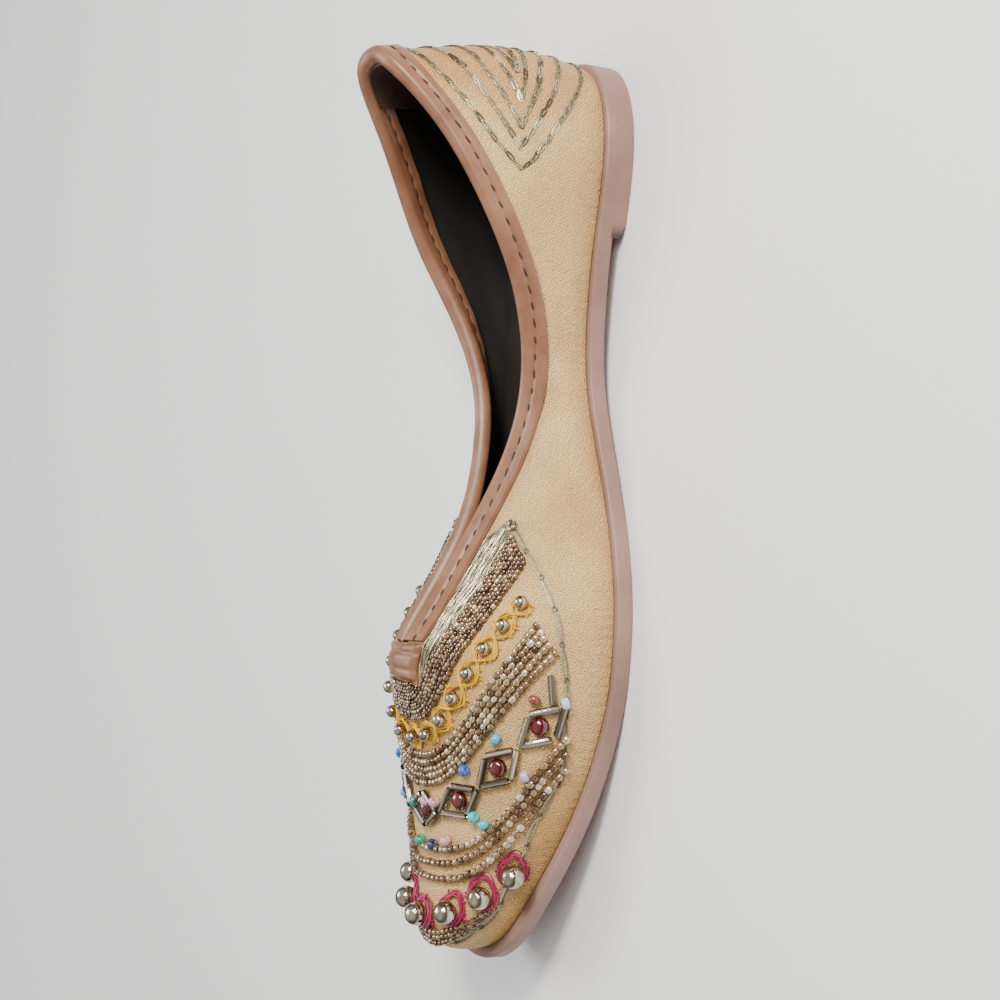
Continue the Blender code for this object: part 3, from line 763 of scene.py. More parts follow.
# Name, place, the point it is turned to, size, power and colour
LIGHTS = (
    ("key", (-0.50, -0.50, 0.62), (0, -0.03, 0.02), (0.25, 0.25), 11.5, (1.0, 0.97, 0.92)),
    ("fill", (-0.75, -0.30, 0.5), (0, -0.03, 0.02), (0.2, 0.3), 2.2, (0.98, 0.985, 1.0)),
    ("back", (0.6, -0.1, 0.9), (0, 0, 0.03), (0.5, 0.5), 6.0, (1.0, 1.0, 1.0)),
)


def make_camera():
    """The camera stands where the view of the shoe was taken from, and turns to bring this one shoe to the middle."""
    cos_e, sin_e = math.cos(CAMERA_LIFT), math.sin(CAMERA_LIFT)
    cos_a, sin_a = math.cos(CAMERA_TURN), math.sin(CAMERA_TURN)
    forward = np.array([cos_e * cos_a, cos_e * sin_a, -sin_e])
    down = np.array([-sin_a, cos_a, 0.0])
    right = np.cross(forward, down)
    if right[2] > 0:
        right = -right
    cos_r, sin_r = math.cos(CAMERA_ROLL), math.sin(CAMERA_ROLL)
    right, down = cos_r * right + sin_r * down, -sin_r * right + cos_r * down

    def ray(pixel):
        return right * (pixel[0] - 500) / FOCAL + down * (pixel[1] - 500) / FOCAL + forward

    place = AIM - ray(AIM_PIXEL) * DISTANCE + SHIFT
    look = unit(ray(SHOE_PIXEL))
    right = unit(right - look * np.dot(right, look))
    down = np.cross(look, right)
    data = bpy.data.cameras.new("camera")
    data.sensor_width = 36.0
    data.lens = FOCAL * 36.0 / 1000.0
    data.clip_start = 0.01
    camera = bpy.data.objects.new("camera", data)
    bpy.context.scene.collection.objects.link(camera)
    axes = Matrix((right, -down, -look)).transposed().to_4x4()
    camera.matrix_world = Matrix.Translation(Vector(place)) @ axes
    bpy.context.scene.camera = camera


def make_light(name, place, aim, size, power, colour):
    data = bpy.data.lights.new(name, "AREA")
    data.shape = "RECTANGLE"
    data.size, data.size_y = size
    data.energy = power
    data.color = colour
    light = bpy.data.objects.new(name, data)
    bpy.context.scene.collection.objects.link(light)
    light.location = place
    light.rotation_euler = (Vector(aim) - Vector(place)).to_track_quat("-Z", "Y").to_euler()


def make_studio():
    bpy.ops.object.select_all(action="DESELECT")
    bpy.ops.mesh.primitive_plane_add(size=6.0, location=(0, 0, 0))
    floor = bpy.context.object
    floor.name = "floor"
    floor.data.materials.append(
        grained("pale floor", (0.90, 0.90, 0.90), (0.92, 0.92, 0.92), 3, 60, 0.0001, 0.6)
    )
    world = bpy.data.worlds.new("studio")
    bpy.context.scene.world = world
    world.use_nodes = True
    background = world.node_tree.nodes["Background"]
    background.inputs["Strength"].default_value = 0.7
    around = add_node(world, "TexCoord")
    parts = add_node(world, "SeparateXYZ")
    sky = colours(world, [(0.0, (0.16, 0.15, 0.14)), (0.35, (0.30, 0.30, 0.30)), (0.75, (1.0, 1.0, 1.0))])
    join_nodes(
        world,
        (around, "Generated", parts, "Vector"),
        (parts, "Z", sky, "Fac"),
        (sky, "Color", background, "Color"),
    )
    for light in LIGHTS:
        make_light(*light)


make_camera()
make_studio()


# The upper, its lining, binding and tab

# Soft troughs and ridges of the cloth: section and rib share where each starts and ends, half width and depth.
CREASES = (
    (6.3, 0.62, 7.0, 0.04, 0.0046, 0.0017),
    (6.9, 0.45, 7.6, 0.08, 0.0036, -0.0009),
    (5.2, 0.75, 5.5, 0.10, 0.0042, 0.0009),
    (4.2, 0.40, 4.9, 0.08, 0.0042, 0.0011),
    (2.9, 0.66, 3.9, 0.30, 0.0050, 0.0010),
    (1.9, 0.16, 3.2, 0.10, 0.0035, 0.0004),
    (8.7, 0.16, 9.9, 0.10, 0.0035, 0.0006),
    (10.2, 0.10, 10.9, 0.07, 0.0030, -0.0004),
    (11.3, 0.14, 12.3, 0.12, 0.0030, 0.0006),
)


def crease_depth(points, side):
    """How far the creases press the cloth in."""
    depth = np.zeros(points.shape[:-1])
    for t0, v0, t1, v1, half, press in CREASES:
        start, end = skin(t0, v0, side), skin(t1, v1, side)
        along = end - start
        share = np.clip(((points - start) @ along) / np.dot(along, along), 0, 1)
        away = np.linalg.norm(points - start - share[..., None] * along, axis=-1)
        fade = np.sin(np.pi * (0.12 + 0.76 * share))
        depth += press * fade * np.exp(-((away / half) ** 2))
    return depth


def cloth_grid(side, ts, vs, inset):
    """Points of one side of the upper with its creases, and the lengths along and up for its weave."""
    t, v = np.meshgrid(ts, vs, indexing="ij")
    points = skin(t, v, side)
    normals = skin_normal(t, v, side)
    swell = 0.00012 * np.sin(t * 5.1 + 2.0 * side) * np.sin(v * 9.0 + t)
    fade = smooth_step(v / 0.08) * smooth_step((1 - v) / 0.08) * smooth_step(t / 0.5)
    fade = fade * smooth_step((LAST_SECTION - t) / 0.5)
    press = (crease_depth(points, side) + swell) * fade + inset
    rises = np.linalg.norm(np.diff(points, axis=1), axis=2)
    up = np.concatenate([np.zeros((len(ts), 1)), np.cumsum(rises, axis=1)], axis=1)
    along = run_along(skin(ts, 0.3, side))[:, None] + 0 * up
    # The tone deepens the cloth's colour: the heel's deeper gold is its own, while the toe's lower sides and the
    # trough of the crease across the side get painted shade.
    padded = 0.75 * smooth_step((2.35 - t - 1.3 * np.abs(v - 0.45)) / 0.7)
    toe_painted_shade = 0.8 * smooth_step((t - 8.6) / 2.2) * smooth_step((0.34 - v) / 0.16)
    crease_painted_shade = 0.55 * np.exp(-(((t - 6.7 + 0.9 * (v - 0.3)) / 0.42) ** 2)) * smooth_step((0.55 - v) / 0.3)
    tone = np.maximum(np.maximum(padded, toe_painted_shade), crease_painted_shade)
    return points - normals * press[..., None], np.stack([along, up], axis=-1), tone


def make_skin_layer(name, inset, thickness, sections=12, ribs=44):
    """A wall that follows the upper on both sides, open at the collar and underneath."""
    ts = np.arange(LAST_SECTION * sections + 1) / sections
    vs = np.linspace(0, 1, ribs + 1)
    halves = []
    for side in (NEAR, FAR):
        points, measure, tone = cloth_grid(side, ts, vs, inset)
        if side == NEAR:
            heel, toe, ridge = points[0].copy(), points[-1].copy(), points[ts >= THROAT, -1].copy()
        else:
            points[0], points[-1] = heel, toe
            points[ts >= THROAT, -1] = ridge
            points, measure, tone = points[::-1], measure[::-1], tone[::-1]
        halves.append(sheet_piece(name, points, measure, tone))
    wall = join_pieces(name, halves)
    tidy_mesh(wall, turn_out=False)
    apply_modifier(wall, "SOLIDIFY", thickness=thickness, offset=-1, use_even_offset=False)
    return wall


def make_upper():
    upper = make_skin_layer("upper_cloth", 0.0, CLOTH)
    dress(upper, BROCADE, "brocade", "upper", angle=60)
    lining = make_skin_layer("upper_lining", CLOTH + 0.00002, WALL - CLOTH - 0.00002, sections=6, ribs=24)
    dress(lining, LINING, "insole_leather", angle=60)


def closed_loft(name, rings):
    """A closed skin through rings of points, with its ends filled."""
    rings = np.array(rings)
    rings = np.concatenate([rings, rings[:, :1]], axis=1)
    obj = sheet_piece(name, rings)
    tidy_mesh(obj, fill=True)
    return obj


FLAP = (1.0, 0.985, 0.94, 0.86, 0.76, 0.66, 0.56, 0.50, 0.46, 0.42, 0.36, 0.27, 0.18, 0.09)
STITCH_SHARE = 0.46  # the line of stitches on the binding, as a share of its width


def binding_sections(ts, side):
    """The folded leather round the collar's edge, thin at its skived lower edges, with a groove for its stitches."""
    edge = skin(ts, 1.0, side)
    upward = unit(edge - skin(ts, 0.93, side))
    out = skin_normal(ts, 1.0, side)
    rib = rib_length(ts, side)
    centre, radius = -WALL / 2, WALL / 2 + GAP + BINDING
    pucker = 0.00008 * np.sin(ts * 14.4 * side)

    def cover(share):
        rounded = 1 - smooth_step((share - 0.93) / 0.07) * 0.75
        groove = 0.00035 * math.exp(-(((share - STITCH_SHARE) / 0.07) ** 2))
        return BINDING * rounded - groove + pucker * share

    def laid(share, height):
        return over(ts, 1 - BINDING_WIDTH * share / rib, side, height + 0 * ts)

    points = [laid(share, GAP + cover(share)) for share in FLAP]
    for degrees in range(0, 181, 20):
        angle = math.radians(degrees)
        points.append(edge + out * (centre + radius * math.cos(angle)) + upward * 0.8 * radius * math.sin(angle))
    points += [laid(share, -(WALL + GAP + cover(share))) for share in FLAP[::-1]]
    points += [laid(share, -(WALL + GAP)) for share in (1.0, 0.6, 0.2)]
    points.append(edge + upward * GAP - out * (WALL + GAP))
    points.append(edge + upward * GAP + out * GAP)
    points += [laid(share, GAP) for share in (0.2, 0.6, 1.0)]
    return np.stack(points, axis=1)


def binding_path(side, share, start):
    """A line along the binding at a share of its width."""
    t = np.linspace(start, BINDING_END - 0.05, 240)
    v = 1 - BINDING_WIDTH * share / rib_length(t, side)
    return Path(t, v, side)


def make_binding():
    t = np.linspace(0, BINDING_END, 220)
    rings = np.concatenate([binding_sections(t, NEAR)[::-1], binding_sections(t, FAR)[1:]])
    binding = closed_loft("topline_binding_leather", rings)
    dress(binding, BINDING_LEATHER, "binding_leather", "topline_binding")
    stitch = template(lambda: bpy.ops.mesh.primitive_uv_sphere_add(segments=8, ring_count=5, radius=0.5))
    groups = []
    for side in (NEAR, FAR):
        for inner in (False, True):
            path = binding_path(side, STITCH_SHARE, 0.15)
            spots = path.even(STITCH_PITCH)
            place, forward, normal = path.at(spots)
            height = STITCH_DEPTH - (WALL + GAP + BINDING) if inner else GAP + BINDING - STITCH_DEPTH
            place = place + normal * height
            tilt = np.cross(normal, forward) * 0.14
            thick = np.full(len(spots), STITCH_WIDTH)
            sizes = np.stack([0.0020 + 0.0012 * chance.random(len(spots)), thick, thick], axis=1)
            groups.append(copies("stitch", stitch, place, forward + tilt, normal, sizes, 0.5))
    dress(join_pieces("binding_stitches", groups), HOLES, "binding_leather")


def make_tab():
    """The leather folded over the end of the slit, with soft cross folds."""
    ts = np.linspace(TAB_START, TAB_END, 40)
    share = (ts - TAB_START) / (TAB_END - TAB_START)
    top, bottom = [], []
    for side, reach in ((NEAR, np.linspace(TAB_REACH, 1.0, 15)), (FAR, np.linspace(1.0, TAB_REACH, 15))):
        for v in reach:
            out = (v - TAB_REACH) / (1 - TAB_REACH)
            edge = smooth_step(np.minimum(share, 1 - share) / 0.12) * smooth_step(out / 0.16)
            fold = 0.00045 * np.exp(-(((share - 0.30) / 0.07) ** 2))
            fold = fold + 0.0003 * np.exp(-(((share - 0.72) / 0.06) ** 2))
            slit = 0.0010 * math.exp(-(((1 - out) / 0.14) ** 2)) * (1 - smooth_step((share - 0.1) / 0.35))
            top.append(over(ts, v, side, GAP + TAB * (0.35 + 0.65 * edge) - fold * edge - slit))
            bottom.append(over(ts, v, side, GAP + 0 * ts))
    tab = closed_loft("throat_tab_leather", np.stack(top + bottom[::-1], axis=1))
    dress(tab, BINDING_LEATHER, "binding_leather", "throat_tab", angle=50)


def make_heel_piece():
    """The brown leather that covers the binding inside the back of the heel, cut straight at its front."""
    t, v = np.meshgrid(np.linspace(0, 1.45, 30), np.linspace(0.2, 0.985, 26), indexing="ij")
    depth = WALL + GAP + BINDING + 0.00035
    near, far = (over(t, v, side, 0 * t - depth) for side in (NEAR, FAR))
    far[0] = near[0]
    piece = join_pieces("heel_lining_piece", [sheet_piece("heel_piece", half) for half in (near, far[::-1])])
    tidy_mesh(piece, turn_out=False)
    apply_modifier(piece, "SOLIDIFY", thickness=0.0006, offset=0, use_even_offset=False)
    dress(piece, HEEL_LINING, "insole_leather", angle=60)


make_upper()
make_binding()
make_tab()
make_heel_piece()


# Sole, heel lift and insole


def sole_margin(y):
    return SOLE_MARGIN + (TOE_MARGIN - SOLE_MARGIN) * smooth_step((y / LENGTH - TREAD_END) / (1 - TREAD_END))


def seat(y):
    return sole_height(y) + OUTSOLE


def slab_piece(name, ts, margin, levels):
    """A flat piece under the foot, from rims that are drawn in by an inset each and stand at their own heights."""
    walls = []
    for side in (NEAR, FAR):
        rows = []
        for inset, height in levels:
            foot = foot_line(ts, side)
            points = foot + (margin(foot[:, 1:2]) - inset) * outward(ts, side)
            points[:, 2] = height(np.clip(points[:, 1], 0, LENGTH))
            if ts[0] == 0:
                points[0, 0] = 0.0
            if ts[-1] == LAST_SECTION:
                points[-1, 0] = middle(LENGTH)
            rows.append(points)
        walls.append(np.array(rows))
    pieces = [sheet_piece(name, wall.transpose(1, 0, 2)) for wall in walls]
    pieces += [sheet_piece(name, np.linspace(walls[0][level], walls[1][level], 9)) for level in (0, -1)]
    if ts[-1] != LAST_SECTION:
        pieces.append(sheet_piece(name, np.linspace(walls[0][:, -1], walls[1][:, -1], 9)))
    obj = join_pieces(name, pieces)
    tidy_mesh(obj)
    return obj


def rounded_levels(top, bottom, radius, steps=5):
    """Rims of a slab whose two edges are rounded by radius."""
    angles = [i / steps * math.pi / 2 for i in range(steps + 1)]
    cuts = [(radius * (1 - math.sin(angle)), radius * (1 - math.cos(angle))) for angle in angles]
    upper = [(a, lambda y, drop=b: top(y) - drop) for a, b in cuts]
    return upper + [(b, lambda y, lift=a: bottom(y) + lift) for a, b in cuts]


def make_sole():
    ts = np.linspace(0, LAST_SECTION, 14 * 14 + 1)
    outsole = slab_piece("outsole_leather", ts, sole_margin, rounded_levels(seat, sole_height, SOLE_ROUND))
    dress(outsole, SOLE_LEATHER, "sole_leather", "outsole", angle=50)

    sample = np.linspace(0, LAST_SECTION, 2000)
    breast = float(np.interp(BREAST_LENGTH, column("foot_along", sample) * LENGTH, sample))
    lift_ts = np.concatenate([np.linspace(0, breast - 0.35, 36), np.linspace(breast - 0.33, breast, 14)])
    top = HEEL_LIFT - GAP
    round_start = BREAST_LENGTH - BREAST_ROUND

    def underside(y):
        past = np.clip((y - round_start) / BREAST_ROUND, 0, 1)
        return 0.5 * top * past * past

    levels = rounded_levels(lambda y: 0 * y + top, underside, 0.5 * SOLE_ROUND, 3)[4:]
    hidden = lambda y: 0 * y + HEEL_LIFT + SOLE_ROUND
    lift = slab_piece("heel_lift_block", lift_ts, sole_margin, [(0.0006, hidden), (0, hidden), *levels])
    dress(lift, HEEL_RUBBER, "heel_rubber", "heel_lift", angle=50)

    insole = slab_piece(
        "insole_board", ts[::2], lambda y: -(WALL + 2 * GAP),
        rounded_levels(lambda y: seat(y) + GAP + INSOLE, lambda y: seat(y) + GAP, 0.0005, 3),
    )
    dress(insole, INSOLE_LEATHER, "insole_leather", "insole", angle=50)


make_sole()


# Beadwork


SEED = torus(9, 5, 0.32, 0.20, 2.1)

# Each band's rows, its bead's length and width, the pitch along a row, and how light its beads are, from 0 to 1: band
# 1 and band 4 at the toe hold painted shade.
BANDS = {
    1: (7, 0.00165, 0.00160, 0.00145, 0.38),
    2: (5, 0.00210, 0.00200, 0.00188, 0.66),
    3: (3, 0.00225, 0.00215, 0.00220, 0.62),
    4: (3, 0.00190, 0.00185, 0.00172, 0.44),
}
# Rows as shares of a band's width: the short ones of band 1, which fill the cloth in front of the tab, and the
# open ones of band 3.
SHORT_ROWS = -0.55, -0.38, -0.22, -0.07
OPEN_ROWS = 0.10, 0.48, 0.90


def make_band(number):
    rows, length, width, pitch, lightness_and_shade = BANDS[number]
    groups = []
    shares = [(row + 0.5) / rows for row in range(rows)]
    if number == 1:
        shares = [*SHORT_ROWS, *shares]
    if number == 3:
        shares = OPEN_ROWS
    for row, share in enumerate(shares):
        reach = 1 if share > 0 else 0.44 + 0.25 * share
        q = np.linspace(-reach, reach, LINE_SAMPLES)
        back = np.array(bead_line(f"band {number} back", q))
        front = np.array(bead_line(f"band {number} front", q))
        x, y = back + (front - back) * share
        path = path_seen(x, y)
        spread = np.linalg.norm(on_cloth(*front)[0] - on_cloth(*back)[0], axis=1) / rows
        spots = path.even(pitch, 0.0008)
        spots = spots + chance.normal(0, 0.00012, len(spots))
        place, forward, normal = path.at(np.clip(spots, 0, path.length))
        sideways = np.cross(normal, forward)
        count = len(spots)
        scale = 1 + chance.normal(0, 0.07, count)
        wave = 0.00018 * np.sin(spots / 0.011 + row * 1.7)
        place = place + normal * (width * 0.5 + 0.00005 + chance.normal(0, 0.00006, count))[:, None]
        place = place + sideways * (wave + chance.normal(0, 0.00007, count))[:, None]
        forward = forward + sideways * chance.normal(0, 0.13, count)[:, None]
        across = np.clip(np.interp(spots, path.run, spread), 0.9 * width, 1.35 * width) if number != 3 else width
        sizes = np.stack([length * scale, across * scale, width * scale], axis=1)
        # Bead tones scatter round the band's lightness, which holds painted shade for bands 1 and 4.
        tones = np.clip(chance.normal(lightness_and_shade, 0.23, count), 0, 1)
        groups.append(copies("seed_row", SEED, place, forward, normal, sizes, tones))
    band = join_pieces(f"seed_band_{number}_beads", groups)
    tidy_mesh(band)
    dress(band, SEEDS, "seed_beads", f"seed_band_{number}", angle=80)


for band_number in BANDS:
    make_band(band_number)


# A metal bead with a bored hole along X, sunk at both ends
BALL_ANGLES = np.radians(np.arange(10, 171, 8))
BALL_HOLE = 0.4 * math.sin(BALL_ANGLES[0])
BALL_PATTERN = turned(
    [(-0.36, BALL_HOLE), *zip(-0.5 * np.cos(BALL_ANGLES), 0.5 * np.sin(BALL_ANGLES)), (0.36, BALL_HOLE)], 20
)


def row_places(name, pitch):
    path = line_path(name)
    half_count = max(1, round(path.length / pitch / 2))
    return path, np.linspace(0, path.length, 2 * half_count + 1)


def make_balls(name, line, pitch, diameter):
    path, spots = row_places(line, pitch)
    place, forward, normal = path.at(spots)
    place = place + normal * (GAP + diameter / 2)
    for number in range(len(spots)):
        twist = np.cross(normal[number], forward[number]) * chance.normal(0, 0.25)
        ball = copies(
            f"{name}_{number + 1}_bead", BALL_PATTERN, place[number], forward[number] + twist, normal[number],
            diameter, 0.5,
        )
        tidy_mesh(ball)
        dress(ball, METAL, "bead_metal", f"{name}_{number + 1}", angle=40)


make_balls("small_ball", "small balls", SMALL_PITCH, SMALL_BALL)
make_balls("large_ball", "large balls", LARGE_PITCH, LARGE_BALL)


def fibre(base, out, length, bend):
    """A loose end of silk that stands off a thread."""
    return np.array([base, base + out * length * 0.5 + bend, base + out * length])


def make_yellow_thread():
    """Strands that pass each small ball on both sides and cross between the balls."""
    path, spots = row_places("small balls", SMALL_PITCH)
    pitch = spots[1] - spots[0]
    run = np.linspace(0, path.length, 420)
    place, forward, normal = path.at(run)
    sideways = np.cross(normal, forward)
    phase = np.cos(math.pi * run / pitch)
    strands, tones = [], []
    for sign in (-1, 1):
        for k in range(8):
            reach = SMALL_BALL / 2 + 0.0001 + 0.00019 * k
            wave = np.cos(math.pi * run / pitch + chance.normal(0, 0.10))
            lateral = sign * reach * np.sign(wave) * np.abs(wave) ** 0.75 * (1 + 0.12 * np.sin(run / 0.0021 + k))
            lift = 0.00045 + 0.00020 * (k % 4) + 0.0004 * (1 - np.abs(phase)) * (1 + sign * 0.5)
            lift = lift + 0.00012 * np.sin(run / 0.0009 + 2 * k)
            strands.append(place + sideways * lateral[:, None] + normal * lift[:, None])
            tones.append(chance.uniform(0.2, 0.9))
    for spot in spots:
        for _ in range(16):
            angle = chance.uniform(0, math.tau)
            start = float(np.clip(spot + 0.0028 * math.cos(angle), 0, path.length))
            p, f, n = path.at([start])
            side_way = np.cross(n, f)[0]
            base = p[0] + side_way * 0.0026 * math.sin(angle) + n[0] * 0.0004
            out = f[0] * math.cos(angle) + side_way * math.sin(angle) + 0.35 * n[0]
            bend = chance.normal(0, 0.0004, 3)
            length = chance.uniform(0.0009, 0.0020)
            strands.append(fibre(base, out, length, bend))
            tones.append(chance.uniform(0.3, 1.0))
    thread = thread_mesh("yellow_thread", strands, YELLOW_STRAND, tones)
    dress(thread, YELLOW_SILK, "brocade", angle=80)


def make_magenta_thread():
    """A teardrop of strands round each large ball, with its tip towards the heel and the sole."""
    path, spots = row_places("large balls", LARGE_PITCH)
    strands, tones = [], []
    for number, spot in enumerate(spots):
        p, f, n = path.at([spot])
        forward, normal = f[0], n[0]
        sideways = np.cross(normal, forward)
        lean = -1 if number < len(spots) / 2 - 0.5 else 1
        back = sideways if sideways[1] < 0 else -sideways
        tip = unit(lean * forward * 0.75 + back * 0.66)
        wide = np.cross(normal, tip)
        for k in range(5):
            reach = LARGE_BALL / 2 + 0.0001 + 0.00026 * k + chance.normal(0, 0.00008)
            angle = np.linspace(0, math.tau, 49) + chance.normal(0, 0.03)
            stretch = reach * (1 + 0.42 * np.exp(-((np.mod(angle + math.pi, math.tau) - math.pi) / 0.45) ** 2))
            stretch = stretch * (1 + 0.03 * np.sin(5 * angle + 2.3 * k))
            flat_x, flat_y = stretch * np.cos(angle), stretch * np.sin(angle) * 0.97
            lift = 0.0017 - 0.00022 * k + 0.00030 * np.sin(2 * angle + 1.9 * k) - 0.0006 * np.cos(angle)
            spread = np.hypot(flat_x, flat_y)
            fall = spread**2 / (2 * 0.030)
            strands.append(
                p[0] + tip * flat_x[:, None] + wide * flat_y[:, None] + normal * (lift - fall)[:, None]
            )
            tones.append(chance.uniform(0.15, 0.85))
        for _ in range(10):
            angle = chance.uniform(0, math.tau)
            out = tip * math.cos(angle) + wide * math.sin(angle)
            base = p[0] + out * 0.0040 + normal * 0.0002
            length = chance.uniform(0.0008, 0.0018)
            bend = chance.normal(0, 0.0003, 3)
            strands.append(fibre(base, out, length, normal * 0.0004 + bend))
            tones.append(chance.uniform(0.3, 1.0))
    thread = thread_mesh("magenta_thread", strands, MAGENTA_STRAND, tones, sides=5)
    dress(thread, MAGENTA_SILK, "brocade", angle=80)


make_yellow_thread()
make_magenta_thread()


# A tube bead along X with an open bore, and painted reflections: streaks of light and dark round its facets
TUBE_END = (0.46, 0.26), (0.5, 0.34), (0.485, 0.46), (0.44, 0.5)
TUBE = turned([(-x, radius) for x, radius in TUBE_END] + list(TUBE_END[::-1]), 10, looped=True)
TUBE_REFLECTION_STREAKS = np.tile([0.45, -0.25, 0.1, 0.5, -0.2, -0.3, 0.3, -0.25, 0.35, -0.3], 8)

# A flat backed dome of glass
DOME = turned(
    [(0.0, 0.46), (0.06, 0.5), (0.20, 0.5), (0.42, 0.475), (0.62, 0.42), (0.78, 0.34), (0.90, 0.23), (0.98, 0.11)],
    24, upright=True,
)


def make_diamonds():
    path, spots = row_places("stones", DIAMOND_PITCH)
    length = 0.94 * (spots[1] - spots[0])
    for number, spot in enumerate(spots, 1):
        p, f, n = path.at([spot])
        centre, along, normal = p[0], f[0], n[0]
        across = np.cross(normal, along)
        gem = copies(
            f"red_stone_{number}_glass", DOME, centre + normal * GAP, along, normal, (STONE, STONE, STONE_RISE), 0.5
        )
        tidy_mesh(gem)
        dress(gem, RED_GLASS, "red_glass", f"red_stone_{number}", angle=60)
        ahead, aside = along * length / 2, across * DIAMOND_WIDTH / 2
        corners = [ahead, aside, -ahead, -aside]
        places, ways, ups, sizes = [], [], [], []
        for k in range(4):
            a, b = corners[k], corners[(k + 1) % 4]
            way = unit(b - a)
            above = centre + (a + b) / 2 + way * 0.00045
            (below,), (up,) = on_cloth(above[0], above[1])
            places.append(below + up * (BUGLE / 2 + GAP + 0.00025 * (k % 2)))
            ways.append(way + up * chance.normal(0, 0.02))
            ups.append(up)
            sizes.append((BUGLE_LENGTH + 0.0004 * chance.random(), 1.15 * BUGLE, 1.1 * BUGLE))
        tones = 0.25 + 0.3 * chance.random(4)
        diamond = copies(f"bugle_diamond_{number}_tubes", TUBE, places, ways, ups, sizes, tones, TUBE_REFLECTION_STREAKS)
        tidy_mesh(diamond)
        dress(diamond, SMOKE_GLASS, "bugle_glass", f"bugle_diamond_{number}", angle=25)


make_diamonds()

# Single beads on the near side: place along the shoe, place across from its middle line, colour.
BROWN, CLEAR, SKY, BLUE, LILAC, TURQUOISE, PINK, TEAL, PURPLE, GREEN = np.arange(10) / 9
SINGLE_BEADS = (
    (0.7060, -0.862, BROWN),
    (0.7085, -0.953, CLEAR),
    (0.7508, -0.690, SKY),
    (0.7890, -0.475, BLUE),
    (0.7890, -0.800, LILAC),
    (0.8465, -0.560, TURQUOISE),
    (0.8400, -0.500, TURQUOISE),
    (0.8310, -0.170, PINK),
    (0.8320, -0.060, PINK),
    (0.8370, 0.130, TEAL),
    (0.8790, 0.050, GREEN),
    (0.8800, -0.120, PURPLE),
    (0.8720, -0.260, PINK),
    (0.8350, 0.480, SKY),
    (0.7890, 0.475, BLUE),
    (0.7890, 0.800, PINK),
    (0.7508, 0.690, TURQUOISE),
    (0.7060, 0.862, BLUE),
    (0.7085, 0.953, CLEAR),
    (0.8420, 0.590, GREEN),
)


# Both ends of the lone bugle beside each end of the row of diamonds, placed the same way
LONE_BUGLE = ((0.682, 0.915), (0.7075, 0.921))


def make_single_beads():
    along, across, tones = np.array(SINGLE_BEADS).T
    y = along * LENGTH
    place, normal = on_cloth(middle(y) + across * BALL, y)
    place = place + normal * SINGLE_BEAD * 0.48
    forward = np.cross(normal, chance.normal(0, 1, normal.shape))
    pattern = torus(20, 12, 0.29, 0.215, 1.9)
    sizes = np.array([0.82, 1, 1]) * SINGLE_BEAD
    beads = copies("single_beads", pattern, place, forward, normal, sizes, tones)
    tidy_mesh(beads)
    dress(beads, COLOURED_GLASS, "seed_beads", angle=80)
    places, ways, ups = [], [], []
    along, across = np.array(LONE_BUGLE).T
    for side in (NEAR, FAR):
        points, normals = on_cloth(middle(along * LENGTH) + side * across * BALL, along * LENGTH)
        ups.append(normals.mean(axis=0))
        places.append(points.mean(axis=0) + ups[-1] * (BUGLE / 2 + GAP))
        ways.append(points[1] - points[0])
    sizes = BUGLE_LENGTH, 1.15 * BUGLE, 1.1 * BUGLE
    tubes = copies("lone_bugles", TUBE, places, ways, ups, sizes, 0.4, TUBE_REFLECTION_STREAKS)
    tidy_mesh(tubes)
    dress(tubes, SMOKE_GLASS, "bugle_glass", angle=25)


make_single_beads()


# Zari work


def link_pattern():
    """One loop of chain stitch: a narrow teardrop of thread along X."""
    sides, steps = 5, 12
    turn = np.arange(sides) * math.tau / sides
    angle = (np.arange(steps) * math.tau / steps)[:, None]
    x, y = 0.5 * np.cos(angle), 0.5 * np.sin(angle) * (0.75 + 0.35 * np.cos(angle))
    dx, dy = -np.sin(angle), np.cos(angle) * 0.8
    size = np.hypot(dx, dy)
    x = x + 0.055 * np.cos(turn) * dy / size
    y = y - 0.26 * np.cos(turn) * dx / size
    z = 0.5 * np.sin(turn) + 0 * angle
    return np.stack([x, y, z], axis=-1).reshape(-1, 3), ring_faces(steps, sides, looped=True)


LINK = link_pattern()


def chain(path):
    """Chain stitches along a path."""
    spots = path.even(CHAIN_PITCH, CHAIN_PITCH / 2)
    count = len(spots)
    spots = spots + chance.normal(0, CHAIN_PITCH * 0.05, count)
    place, forward, normal = path.at(np.clip(spots, 0, path.length))
    sideways = np.cross(normal, forward)
    place = place + normal * CHAIN_THICKNESS * 0.5 + sideways * chance.normal(0, 0.00006, count)[:, None]
    forward = forward + sideways * chance.normal(0, 0.07, count)[:, None]
    width = CHAIN_WIDTH * (1 + chance.normal(0, 0.12, count))
    sizes = np.stack([np.full(count, CHAIN_PITCH * 1.22), width, np.full(count, CHAIN_THICKNESS)], axis=1)
    tones = np.clip(chance.normal(0.34, 0.28, count), 0, 1)
    return copies("chain", LINK, place, forward, normal, sizes, tones)


def smooth_through(points, samples=140):
    """A smooth line through a few (section, rib share) points."""
    points = np.array(points, float)
    count = len(points)
    run = np.linspace(0, count - 1, samples)
    padded = np.vstack([2 * points[0] - points[1], points, 2 * points[-1] - points[-2]])
    i = np.minimum(run.astype(int), count - 2)
    u = (run - i)[:, None]
    p0, p1, p2, p3 = (padded[i + k] for k in range(4))
    bend, twist = 2 * p0 - 5 * p1 + 4 * p2 - p3, 3 * p1 - p0 - 3 * p2 + p3
    return 0.5 * (2 * p1 + (p2 - p0) * u + bend * u**2 + twist * u**3)


